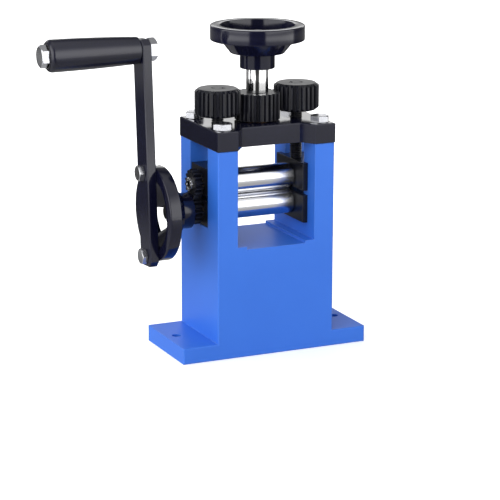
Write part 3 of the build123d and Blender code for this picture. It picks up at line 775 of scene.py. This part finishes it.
# ---- sub-assemblies
@dataclass
class Stand:
    """Blue body, black top plate, bearing blocks, bushes and lift springs."""

    bolt_flats: float = 17.0
    bolt_head: float = 6.4
    bolt_radius: float = 5.0
    bolt_pitch: float = 1.5

    def dress_frame(self) -> None:
        """Dress the CAD nodes whose shape stays."""
        dress_nodes(BLUE_COAT, "frame_body")
        dress_nodes(BLACK_ENAMEL, "top_plate")
        ends = [(level, hand) for level in ("lower", "upper") for hand in ("left", "right")]
        dress_nodes(BLACK_OXIDE, *(f"{level}_block_{hand}" for level, hand in ends))
        dress_nodes(BEARING_BRONZE, *(f"{level}_bush_{hand}" for level, hand in ends), "shaft_bush")
        dress_nodes(SPRING_WIRE, "lift_springs")

    def plate_bolts(self) -> None:
        """Build the bolts that hold the top plate, at the corners of their CAD node."""
        low, high = extent("top_plate_bolts")
        corner = self.bolt_flats / np.sqrt(3)
        seat_z = high[2] - self.bolt_head
        bolt = Bolt(HexForm(self.bolt_flats, self.bolt_head, dish=CROWN_DISH),
                    Thread(self.bolt_radius, self.bolt_pitch, 24, 6), seat_z - low[2])
        places = [(x, y) for x in (low[0] + corner, high[0] - corner)
                  for y in (low[1] + self.bolt_flats / 2, high[1] - self.bolt_flats / 2)]
        parts = [bolt.piece(f"plate bolt {i}", Seat((*place, seat_z)))
                 for i, place in enumerate(places)]
        seat_piece(join("plate_bolts", parts), ZINC_PLATE, "stand", "plated_fastener",
                   "top_plate_bolts")

    def build(self) -> None:
        """Dress and build the whole stand."""
        self.dress_frame()
        self.plate_bolts()


@dataclass
class RollerPair:
    """Both rollers with the gears that turn them together."""

    bore_radius: float = 3.5
    bore_depth: float = 22.0
    shaft_end_radius: dict = field(default_factory=lambda: {"lower": 4.05, "upper": 3.5})
    shaft_end_depth: float = 20.0
    journal_radius: float = 6.5
    journal_break: float = 0.7
    bore_break: float = 0.6
    barrel_half: float = 35.0
    end_round: float = 0.6
    gear: dict = field(default_factory=lambda: {"lower": (0.0, 90.0), "upper": (11.25, 270.0)})
    bodies: dict = field(default_factory=lambda: {"lower": "crank", "upper": "top_roll"})
    gear_teeth: int = 16
    gear_module: float = 1.6
    gear_pressure: float = 25.0
    gear_backlash: float = 0.36
    gear_bevel: tuple = (0.5, 0.5)
    pin_radius: float = 1.5

    def roller(self, level: str) -> None:
        """Build one roller as a turned bar: barrel, journals and a bored recess in each end.

        Args:
            level: "lower" or "upper".
        """
        low, high = extent(f"{level}_roller")
        axis_z = (low[2] + high[2]) / 2
        radius = (high[2] - low[2]) / 2
        journal, bore, depth = self.journal_radius, self.bore_radius, self.bore_depth
        end_bore, end_depth = self.shaft_end_radius[level], self.shaft_end_depth
        mouth, edge = self.bore_break, self.journal_break
        corners = [
            (0, low[0] + end_depth, 0), (end_bore, low[0] + end_depth, 0),
            (end_bore, low[0] + mouth, 0), (end_bore + mouth, low[0], 0),
            (journal - edge, low[0], 0), (journal, low[0] + edge, 0),
            (journal, -self.barrel_half, 0),
            (radius, -self.barrel_half, self.end_round), (radius, self.barrel_half, self.end_round),
            (journal, self.barrel_half, 0),
            (journal, high[0] - edge, 0), (journal - edge, high[0], 0), (bore + mouth, high[0], 0),
            (bore, high[0] - mouth, 0), (bore, high[0] - depth, 0), (0, high[0] - depth, 0),
        ]
        piece = lathe(f"{level}_roller_bar", rounded(corners, False), across_seat(0, axis_z),
                      False, 128)
        seat_piece(piece, ROLLER_POLISH, self.bodies[level], "polished_steel", f"{level}_roller")

    def roller_gear(self, level: str) -> None:
        """Build one roller's gear with its keyway.

        Args:
            level: "lower" or "upper".
        """
        low, high = extent(f"{level}_roller_gear")
        roller_low, roller_high = extent(f"{level}_roller")
        axis_z = (roller_low[2] + roller_high[2]) / 2
        first_tooth, key_angle = self.gear[level]
        gear = SpurGear(self.gear_teeth, self.gear_module, self.gear_module, self.gear_pressure,
                        self.gear_backlash, first_tooth, *self.gear_bevel,
                        Keyway(self.journal_radius, self.pin_radius, key_angle))
        piece = gear.piece(f"{level}_pinion", across_seat(low[0], axis_z), high[0] - low[0])
        seat_piece(piece, BLACK_OXIDE, self.bodies[level], "black_oxide", f"{level}_roller_gear")

    def build(self) -> None:
        """Build both rollers and both gears, and dress their pins."""
        for level in ("lower", "upper"):
            self.roller(level)
            self.roller_gear(level)
        dress_nodes(TURNED_STEEL, "lower_gear_pin", "upper_gear_pin")


@dataclass
class DishedWheel:
    """Dished wheel whose rim face lies on the seat, with or without windows through its bowl.

    The outline's numbers are distances from the axis and from the rim face. The windows are taken
    out of the grid between two radii and two angles, and their four walls are put in.
    """

    length: float
    rim_height: float
    rim_width: float
    bowl_depth: float
    floor_diameter: float
    hub_diameter: float
    boss_sunk: float
    windows: int = 0
    window_deg: float = 0.0
    diameter: float = 91.5
    rim_round: float = 1.4
    small_round: float = 0.8
    boss_round: float = 0.3
    wall: float = 3.8
    wall_lean: float = 0.8
    floor: float = 4.2
    boss_diameter: float = 24.0
    bore: float = 6.52
    window_inner: float = 21.0
    window_outer: float = 30.0
    window_span_deg: float = 53.0
    columns: int = 270

    def outline(self) -> np.ndarray:
        """Closed outline of the wheel's section, with points where a window's radii cross it."""
        mouth, floor = self.diameter / 2 - self.rim_width, self.floor_diameter / 2
        boss, small = self.boss_diameter / 2, self.small_round
        slope = (mouth - floor) / (self.bowl_depth - self.rim_height)
        inner = floor + slope * self.floor - self.wall
        corners = [
            (self.bore, -self.length, 0), (self.hub_diameter / 2, -self.length, small),
            (self.hub_diameter / 2, -self.bowl_depth, small), (floor, -self.bowl_depth, small),
            (mouth, -self.rim_height, 0), (self.diameter / 2, -self.rim_height, self.rim_round),
            (self.diameter / 2, 0, self.rim_round), (mouth, 0, small),
            (mouth - self.wall_lean, self.wall - self.rim_height, 0.6),
            (inner, self.floor - self.bowl_depth, 1.0),
            (boss, self.floor - self.bowl_depth, self.boss_round),
            (boss, -self.boss_sunk, self.boss_round), (self.bore, -self.boss_sunk, 0),
        ]
        line = rounded(corners, True)
        for radius in (self.window_inner, self.window_outer) if self.windows else ():
            here, after = line[:, 0], np.roll(line[:, 0], -1)
            crossed = np.nonzero((here - radius) * (after - radius) < 0)[0]
            share = ((radius - here[crossed]) / (after[crossed] - here[crossed]))[:, None]
            added = line[crossed] * (1 - share) + np.roll(line, -1, 0)[crossed] * share
            line = np.insert(line, crossed + 1, added, axis=0)
        return line

    def piece(self, name: str, seat: Seat) -> bpy.types.Object:
        """Build the wheel on a seat.

        Args:
            name: name of the piece.
            seat: where its rim face lies, with its axis out of the dish.

        Returns:
            The piece.
        """
        line = self.outline()
        rows, columns = len(line), self.columns
        grid = ring_grid(line[:, :1], line[:, 1:], radians(self.window_deg) + around(columns))
        if not self.windows:
            return skin(name, grid, seat, True, 30.0)
        half = round(columns * self.window_span_deg / 720)
        step = columns // self.windows
        column = np.arange(columns)
        place = (column + half) % step
        open_column = place < 2 * half
        middle = (line[:, 0] + np.roll(line[:, 0], -1)) / 2
        open_row = (middle > self.window_inner) & (middle < self.window_outer)
        shell = quads(rows, columns, True)
        keep = ~(open_row[:, None] & open_column[None, :]).reshape(-1)
        faces = shell[keep].tolist()
        # a window's edges are the rows where the open stretch starts and ends, outside and inside
        starts = np.nonzero(open_row & ~np.roll(open_row, 1))[0]
        ends = (np.nonzero(open_row & ~np.roll(open_row, -1))[0] + 1) % rows
        outer, inner = (starts[0], ends[0]), (starts[1], ends[1])
        opened = column[open_column]
        beside = (opened + 1) % columns
        for low_row, high_row in ((outer[0], inner[1]), (inner[0], outer[1])):
            walls = np.stack((low_row * columns + opened, low_row * columns + beside,
                              high_row * columns + beside, high_row * columns + opened), -1)
            faces.extend(walls.tolist())
        run = np.concatenate((np.arange(outer[0], outer[1] + 1), np.arange(inner[0], inner[1] + 1)))
        for first in np.nonzero(place == 0)[0]:
            for side in (first, (first + 2 * half) % columns):
                faces.append((run * columns + side).tolist())
        return piece_from(name, seat.place(grid), faces, 30.0)


@dataclass
class Adjuster:
    """Threaded screws with their knob gears, the centre gear, the shaft and the handwheel."""

    screw_radius: float = 6.0
    screw_pitch: float = 1.75
    pin_radius: float = 1.5
    key_deg: dict = field(default_factory=lambda: {"left": 330.0, "right": 170.0})
    teeth: int = 24
    module: float = 1.75
    addendum: float = 1.2
    pressure: float = 20.0
    backlash: float = 0.36
    knob_bevel: tuple = (3.4, 2.6)
    centre_bevel: tuple = (0.6, 0.6)
    journal_radius: float = 8.0
    hub_seat_radius: float = 6.5
    shaft_break: float = 0.5
    screw_break: float = 0.8
    end_bore: float = 4.05
    end_depth: float = 20.0

    def gear(self, first_tooth_deg: float, bevel: tuple[float, float], keyway: Keyway) -> SpurGear:
        """Gear form shared by the two knobs and the centre gear."""
        return SpurGear(self.teeth, self.module, self.addendum, self.pressure, self.backlash,
                        first_tooth_deg, *bevel, keyway)

    def screw(self, hand: str) -> None:
        """Build one adjusting screw: threaded below its gear, plain with a keyway inside it.

        Args:
            hand: "left" or "right".
        """
        low, high = extent(f"screw_{hand}")
        gear_low, gear_high = extent(f"screw_gear_{hand}")
        centre = (low[:2] + high[:2]) / 2
        keyway = Keyway(self.screw_radius, self.pin_radius, self.key_deg[hand])
        thread = Thread(self.screw_radius, self.screw_pitch, 48, 10)
        seat = Seat((*centre, 0.0))
        threaded = thread.bar(f"{hand}_adjusting_screw", low[2], gear_low[2], seat)
        shaft = keyway.shaft(around(144))
        radius = np.concatenate((0 * shaft, shaft, shaft, shaft - self.screw_break, 0 * shaft))
        along = np.array([gear_low[2], gear_low[2], high[2] - self.screw_break, high[2],
                          high[2]])[:, None]
        plain = skin("plain end", ring_grid(radius, along, around(144)), seat, False)
        seat_piece(join(f"{hand}_adjusting_screw", [threaded, plain]), BLACK_OXIDE,
                   f"adjusting_screw_{hand}", "black_oxide", f"screw_{hand}")
        gear = self.gear(180.0 / self.teeth, self.knob_bevel, keyway).piece(
            f"{hand}_knob_gear", Seat((*centre, gear_low[2])), gear_high[2] - gear_low[2])
        seat_piece(gear, BLACK_OXIDE, f"adjusting_screw_{hand}", "black_oxide", f"screw_gear_{hand}")
        dress_nodes(TURNED_STEEL, f"screw_gear_pin_{hand}")

    def centre(self) -> None:
        """Build the centre gear and the polished shaft that carries the handwheel."""
        low, high = extent("centre_gear")
        keyway = Keyway(self.journal_radius, self.pin_radius, 90.0)
        gear = self.gear(0.0, self.centre_bevel, keyway).piece(
            "centre_drive_gear", Seat((0, 0, low[2])), high[2] - low[2])
        seat_piece(gear, BLACK_OXIDE, "adjuster", "black_oxide", "centre_gear")
        shaft_low, shaft_high = extent("adjuster_shaft")
        wheel_low, _ = extent("handwheel")
        radius, top = shaft_high[0], shaft_high[2]
        journal, seat_radius, edge = self.journal_radius, self.hub_seat_radius, self.shaft_break
        corners = [
            (0, shaft_low[2], 0), (journal - 0.6, shaft_low[2], 0), (journal, shaft_low[2] + 0.6, 0),
            (journal, high[2], 0), (radius, high[2], edge), (radius, wheel_low[2], edge),
            (seat_radius, wheel_low[2], 0), (seat_radius, top, edge), (self.end_bore, top, 0),
            (self.end_bore, top - self.end_depth, 0), (0, top - self.end_depth, 0),
        ]
        piece = lathe("handwheel_shaft", rounded(corners, False), Seat((0, 0, 0)), False, 128)
        seat_piece(piece, SHAFT_POLISH, "adjuster", "polished_steel", "adjuster_shaft")
        dress_nodes(TURNED_STEEL, "centre_gear_pin", "thrust_washer", "shaft_circlip", "handwheel_pin")

    def wheel(self) -> None:
        """Build the handwheel and the bolt and washer in its boss."""
        low, high = extent("handwheel")
        form = DishedWheel(high[2] - low[2], rim_height=14.8, rim_width=9.75, bowl_depth=27.2,
                           floor_diameter=52.2, hub_diameter=33.9, boss_sunk=13.1)
        wheel = form.piece("dished_handwheel", Seat((0, 0, high[2])))
        seat_piece(wheel, BLACK_ENAMEL, "adjuster", "black_paint", "handwheel")
        dress_nodes(BLACK_OXIDE, "handwheel_washer")
        _, washer_high = extent("handwheel_washer")
        bolt_low, bolt_high = extent("handwheel_bolt")
        bolt = hub_bolt(bolt_high[2] - washer_high[2], washer_high[2] - bolt_low[2])
        seat_piece(bolt.piece("handwheel_hub_bolt", Seat((0, 0, washer_high[2]))), BLACK_OXIDE,
                   "adjuster", "black_oxide", "handwheel_bolt")

    def build(self) -> None:
        """Build the whole adjuster."""
        for hand in ("left", "right"):
            self.screw(hand)
        self.centre()
        self.wheel()


@dataclass
class Crank:
    """Crank wheel, arm, their bolts and the turning handle."""

    lean_deg: float = 4.2
    throw: float = 157.5
    rim_width: float = 10.9
    arm_bolt_flats: float = 14.0
    arm_bolt_head: float = 5.6
    handle_head: float = 8.2
    handle_flats: float = 19.0
    nut_flats: float = 19.5
    corner_deg: float = 30.0
    shoulder_radius: float = 7.0
    grip_play: float = 0.04
    grip_inner: float = 25.8
    grip_outer: float = 30.8
    grip_foot: float = 1.5
    grip_shoulder: float = 5.0
    grip_recess: float = 12.0
    grip_recess_depth: float = 1.5

    def seat(self, x: float, along: float = 0.0) -> Seat:
        """Seat that faces away from the stand, on the arm's middle line.

        Args:
            x: place along the rollers.
            along: distance from the crank's axis towards the handle.

        Returns:
            The seat, with its angles from the arm's feed side.
        """
        roller_low, roller_high = extent("lower_roller")
        lean = radians(self.lean_deg)
        axis_z = (roller_low[2] + roller_high[2]) / 2
        return Seat((x, along * sin(lean), axis_z + along * cos(lean)),
                    start=(0.0, -cos(lean), sin(lean)), axis=(-1.0, 0.0, 0.0))

    def wheel(self) -> None:
        """Build the crank wheel and the bolt and washer in its boss."""
        low, high = extent("crank_wheel")
        form = DishedWheel(high[0] - low[0], rim_height=12.0, rim_width=self.rim_width,
                           bowl_depth=25.2, floor_diameter=41.0, hub_diameter=35.0, boss_sunk=20.2,
                           windows=3, window_deg=84.0)
        wheel = form.piece("dished_crank_wheel", self.seat(low[0]))
        soften(wheel, 0.4)
        seat_piece(wheel, BLACK_ENAMEL, "crank", "black_paint", "crank_wheel")
        dress_nodes(BLACK_OXIDE, "crank_wheel_washer")
        dress_nodes(TURNED_STEEL, "crank_spacer", "crank_wheel_pin")
        washer_low, _ = extent("crank_wheel_washer")
        bolt_low, bolt_high = extent("crank_wheel_bolt")
        bolt = hub_bolt(washer_low[0] - bolt_low[0], bolt_high[0] - washer_low[0])
        seat_piece(bolt.piece("crank_hub_bolt", self.seat(washer_low[0])), BLACK_OXIDE, "crank",
                   "black_oxide", "crank_wheel_bolt")

    def arm(self) -> None:
        """Dress the arm and build the bolts that hold it to the wheel's rim."""
        dress_nodes(BLACK_ENAMEL, "crank_arm")
        arm_low, _ = extent("crank_arm")
        _, bolts_high = extent("crank_arm_bolts")
        reach = (DishedWheel.diameter - self.rim_width) / 2
        bolt = Bolt(HexForm(self.arm_bolt_flats, self.arm_bolt_head, dish=CROWN_DISH), M8,
                    bolts_high[0] - arm_low[0])
        parts = [bolt.piece(f"arm bolt {side}", self.seat(arm_low[0], side * reach))
                 for side in (-1, 1)]
        seat_piece(join("arm_bolts", parts), ZINC_PLATE, "crank", "plated_fastener", "crank_arm_bolts")

    def handle(self) -> None:
        """Build the grip, the shouldered bolt that it turns on, and the nut behind the arm."""
        grip_low, grip_high = extent("handle_grip")
        length = grip_high[0] - grip_low[0]
        bore = self.shoulder_radius + self.grip_play
        inner, outer = self.grip_inner / 2, self.grip_outer / 2
        foot, sunk = self.grip_foot, self.grip_recess_depth
        # the grip swells from the arm to its outer end on a quarter sine
        share = np.linspace(0, 1, 40)
        swell = inner + (outer - inner) * np.sin(share * pi / 2) ** 0.9
        side = np.stack((swell, foot + (length - foot - self.grip_shoulder) * share), -1)
        end = rounded([(outer, length - self.grip_shoulder - 1.0, 0), (outer, length, 4.5),
                       (self.grip_recess, length, 0.6), (self.grip_recess, length - sunk, 0),
                       (bore, length - sunk, 0)], False, 10)
        start = rounded([(bore, 0, 0), (inner, 0, 1.2), (inner, foot, 0)], False)
        outline = np.concatenate((start, side[1:], end[1:]))
        grip = lathe("turning_handle_grip", outline, self.seat(grip_high[0], self.throw), True, 112)
        seat_piece(grip, MOULDED_GRIP, "turning_grip", "grip_plastic", "handle_grip")
        bolt_low, bolt_high = extent("handle_bolt")
        arm_low, arm_high = extent("crank_arm")
        head_seat = bolt_low[0] + self.handle_head
        bolt = Bolt(HexForm(self.handle_flats, self.handle_head, self.corner_deg, dish=0.2),
                    Thread(6.0, 1.75), bolt_high[0] - head_seat,
                    (self.shoulder_radius, arm_low[0] - head_seat))
        seat_piece(bolt.piece("handle_shoulder_bolt", self.seat(head_seat, self.throw)), ZINC_PLATE,
                   "crank", "plated_fastener", "handle_bolt")
        _, nut_high = extent("handle_nut")
        nut = HexForm(self.nut_flats, nut_high[0] - arm_high[0], self.corner_deg, bore=6.02)
        seat = self.seat(arm_high[0], self.throw)
        flipped = Seat(seat.origin, seat.start, (1.0, 0.0, 0.0))
        seat_piece(nut.piece("handle_lock_nut", flipped), ZINC_PLATE, "crank", "plated_fastener",
                   "handle_nut")

    def build(self) -> None:
        """Build the whole crank."""
        self.wheel()
        self.arm()
        self.handle()


# ---- studio
@dataclass
class Studio:
    """Camera, lamps, floor and world.

    The camera's numbers were solved from the stand's straight edges in the photograph. A span is
    where a change starts and ends: a direction's height, its cosine from the camera's side, or
    metres from the origin.
    """

    azimuth_deg: float = -24.751
    elevation_deg: float = 14.448
    distance_m: float = 2.0846
    target_m: tuple = (-0.00712, 0.0, 0.09396)
    roll_deg: float = 0.192
    lens_mm: float = 152.44
    lamp_target_m: tuple = (0.0, 0.0, 0.15)
    world_fill: float = 0.4
    left_fill: float = 2.3
    # tone of the surroundings by the cosine from behind (-1) to the camera (1): dark flags behind
    # the sides and a dark gap under the lens leave the dark lines on the round parts
    side_tones: tuple = ((-0.76, 0.08), (-0.18, 0.1), (-0.05, 1.0), (0.93, 1.0), (0.952, 0.03),
                         (1.0, 0.03))
    box_brightness: float = 2.8
    box_top_span: tuple = (0.45, 0.75)
    ceiling_brightness: float = 0.9
    ceiling_span: tuple = (0.75, 0.95)
    band_brightness: float = 1.7
    band_side_span: tuple = (-0.65, -0.85)
    band_foot_span: tuple = (0.14, 0.19)
    band_top_span: tuple = (0.36, 0.30)
    floor_half_m: float = 6.0
    floor_colour: str = "#F1F1F2"
    floor_roughness: float = 0.28
    floor_glow: tuple = (0.42, 0.78)
    glow_span: tuple = (0.2, 0.7)
    near_brightness: float = 0.5
    near_span: tuple = (0.25, 0.7)
    box_foot_brightness: tuple = (0.85, 3.2)
    box_foot_span: tuple = (1.45, 1.62)
    fade_brightness: tuple = (1.0, 0.35)
    fade_span: tuple = (2.6, 3.4)

    def back(self) -> Vector:
        """Unit vector from the object towards the camera."""
        a, e = radians(self.azimuth_deg), radians(self.elevation_deg)
        return Vector((sin(a) * cos(e), -cos(a) * cos(e), sin(e)))

    def camera(self) -> None:
        """Create the camera at the photograph's viewing angle."""
        lens = bpy.data.cameras.new("camera")
        lens.sensor_width = 36.0
        lens.lens = self.lens_mm
        lens.clip_end = 50.0
        back = self.back()
        right = Vector((0, 0, 1)).cross(back).normalized()
        up = back.cross(right)
        roll = radians(self.roll_deg)
        right, up = right * cos(roll) + up * sin(roll), up * cos(roll) - right * sin(roll)
        turn = Matrix((right, up, back)).transposed().to_4x4()
        eye = bpy.data.objects.new("camera", lens)
        eye.matrix_world = Matrix.Translation(Vector(self.target_m) + back * self.distance_m) @ turn
        bpy.context.scene.collection.objects.link(eye)
        bpy.context.scene.camera = eye

    def lamp(self, name: str, place: tuple, size: float, watts: float) -> None:
        """Add one soft square lamp that faces the rollers and that reflections leave out.

        Args:
            name: name of the lamp.
            place: where it stands, in metres.
            size: length of its side, in metres.
            watts: its power.
        """
        light = bpy.data.lights.new(name, "AREA")
        light.size = size
        light.energy = watts
        lamp = bpy.data.objects.new(name, light)
        lamp.location = place
        lamp.visible_glossy = False
        aim = Vector(self.lamp_target_m) - Vector(place)
        lamp.rotation_euler = aim.to_track_quat("-Z", "Y").to_euler()
        bpy.context.scene.collection.objects.link(lamp)

    def side_tone(self, shader: Shader, way: Socket) -> tuple[Socket, Socket]:
        """Tone of the surroundings by their side of the object.

        Args:
            shader: shader of the world or the floor.
            way: direction or place, of which the level part counts.

        Returns:
            The tone, and the cosine between the direction and the camera's side.
        """
        toward = Vector((self.back().x, self.back().y, 0)).normalized()
        level = shader.vector("NORMALIZE", shader.vector("MULTIPLY", way, (1.0, 1.0, 0.0)))
        cosine = shader.vector("DOT_PRODUCT", level, tuple(toward))
        ramp = shader.add("ValToRGB", {"Fac": shader.ranged(cosine, (-1.0, 1.0))})
        stops = ramp.color_ramp.elements
        while len(stops) < len(self.side_tones):
            stops.new(1.0)
        for stop, (place, tone) in zip(stops, self.side_tones):
            stop.position = (place + 1) / 2
            stop.color = (tone, tone, tone, 1.0)
        return ramp.outputs["Color"], cosine

    def by_ray(self, shader: Shader, seen: Socket | float, fill: Socket | float,
               glossy: Socket) -> Socket:
        """Strength that differs for what the camera sees, for matt light and for reflections."""
        path = shader.add("LightPath").outputs
        direct = shader.math("MAXIMUM", path["Is Camera Ray"], path["Is Transmission Ray"])
        return shader.mix(path["Is Glossy Ray"], shader.mix(direct, fill, seen), glossy)

    def world(self) -> None:
        """Make a world that is white to the camera, brighter on the left to matt surfaces, and a
        lit studio to reflections.

        Light boxes fill the sides up to about 30 degrees, a bright band lies low behind the
        object, and straight above is an even ceiling.
        """
        world = bpy.data.worlds.new("studio")
        shader = Shader(world)
        way = shader.add("TexCoord").outputs["Generated"]
        tone, cosine = self.side_tone(shader, way)
        height = shader.add("SeparateXYZ", {0: way}).outputs["Z"]
        boxes = shader.ranged(height, self.box_top_span,
                              (self.box_brightness, self.ceiling_brightness))
        behind = shader.ranged(cosine, self.band_side_span, (0.0, self.band_brightness))
        low = shader.math("MULTIPLY", shader.ranged(height, self.band_foot_span),
                          shader.ranged(height, self.band_top_span))
        band = shader.math("MULTIPLY_ADD", behind, low, shader.math("MULTIPLY", tone, boxes))
        glossy = shader.mix(shader.ranged(height, self.ceiling_span), band, self.ceiling_brightness)
        leftward = shader.vector("DOT_PRODUCT", way, (-1.0, 0.0, 0.0))
        fill = shader.ranged(leftward, (0.0, 1.0),
                             (self.world_fill, self.world_fill + self.left_fill))
        sky = shader.add("Background", {"Color": (1.0, 1.0, 1.0, 1.0),
                                        "Strength": self.by_ray(shader, 1.0, fill, glossy)})
        shader.add("OutputWorld", {"Surface": sky.outputs["Background"]})
        bpy.context.scene.world = world

    def floor(self) -> None:
        """Lay a pale floor that keeps the object's shadow and melts into the white.

        To reflections it is grey near the object, then follows the sides' tone, and beyond one and
        a half metres it is as bright as the foot of the light boxes.
        """
        made = bpy.data.materials.new("pale satin table top")
        shader = Shader(made)
        place = shader.add("TexCoord").outputs["Object"]
        tone, _ = self.side_tone(shader, place)
        distance = shader.vector("LENGTH", place)
        foot = shader.math("MULTIPLY",
                           shader.ranged(distance, self.box_foot_span, self.box_foot_brightness),
                           shader.ranged(distance, self.fade_span, self.fade_brightness))
        glossy = shader.mix(shader.ranged(distance, self.near_span), self.near_brightness,
                            shader.math("MULTIPLY", tone, foot))
        seen = shader.ranged(distance, self.glow_span, self.floor_glow)
        glow = shader.add("Emission", {"Strength": self.by_ray(shader, seen, 0.0, glossy)})
        cloth = shader.add("BsdfPrincipled", {"Base Color": linear(self.floor_colour),
                                              "Roughness": self.floor_roughness})
        # reflections take their tone from the emission alone
        reflected = shader.add("LightPath").outputs["Is Glossy Ray"]
        black = shader.add("BsdfDiffuse", {"Color": (0.0, 0.0, 0.0, 1.0)})
        surface = shader.add("MixShader", {0: reflected, 1: cloth.outputs[0], 2: black.outputs[0]})
        both = shader.add("AddShader", {0: surface.outputs[0], 1: glow.outputs[0]})
        shader.add("OutputMaterial", {"Surface": both.outputs[0]})
        side = self.floor_half_m / MM
        corners = np.array([(-side, -side, 0), (side, -side, 0), (side, side, 0), (-side, side, 0)])
        ground = piece_from("table_top", corners, [(0, 1, 2, 3)])
        ground.data.materials.append(made)

    def build(self) -> None:
        """Set the whole studio."""
        bpy.context.scene.view_settings.view_transform = "Standard"
        self.camera()
        self.world()
        self.floor()
        self.lamp("key", (-1.4, -1.2, 1.3), 1.1, 12.0)
        self.lamp("front fill", (0.9, -2.0, 0.6), 1.2, 8.0)
        self.lamp("back rim", (0.3, 1.5, 1.4), 1.0, 3.0)


def main() -> None:
    """Build the studio and every sub-assembly in order."""
    logging.basicConfig(level=logging.INFO, format="%(message)s")
    Studio().build()
    for assembly in (Stand(), RollerPair(), Adjuster(), Crank()):
        assembly.build()
        LOG.info("finished %s", type(assembly).__name__)


if __name__ == "__main__":
    main()
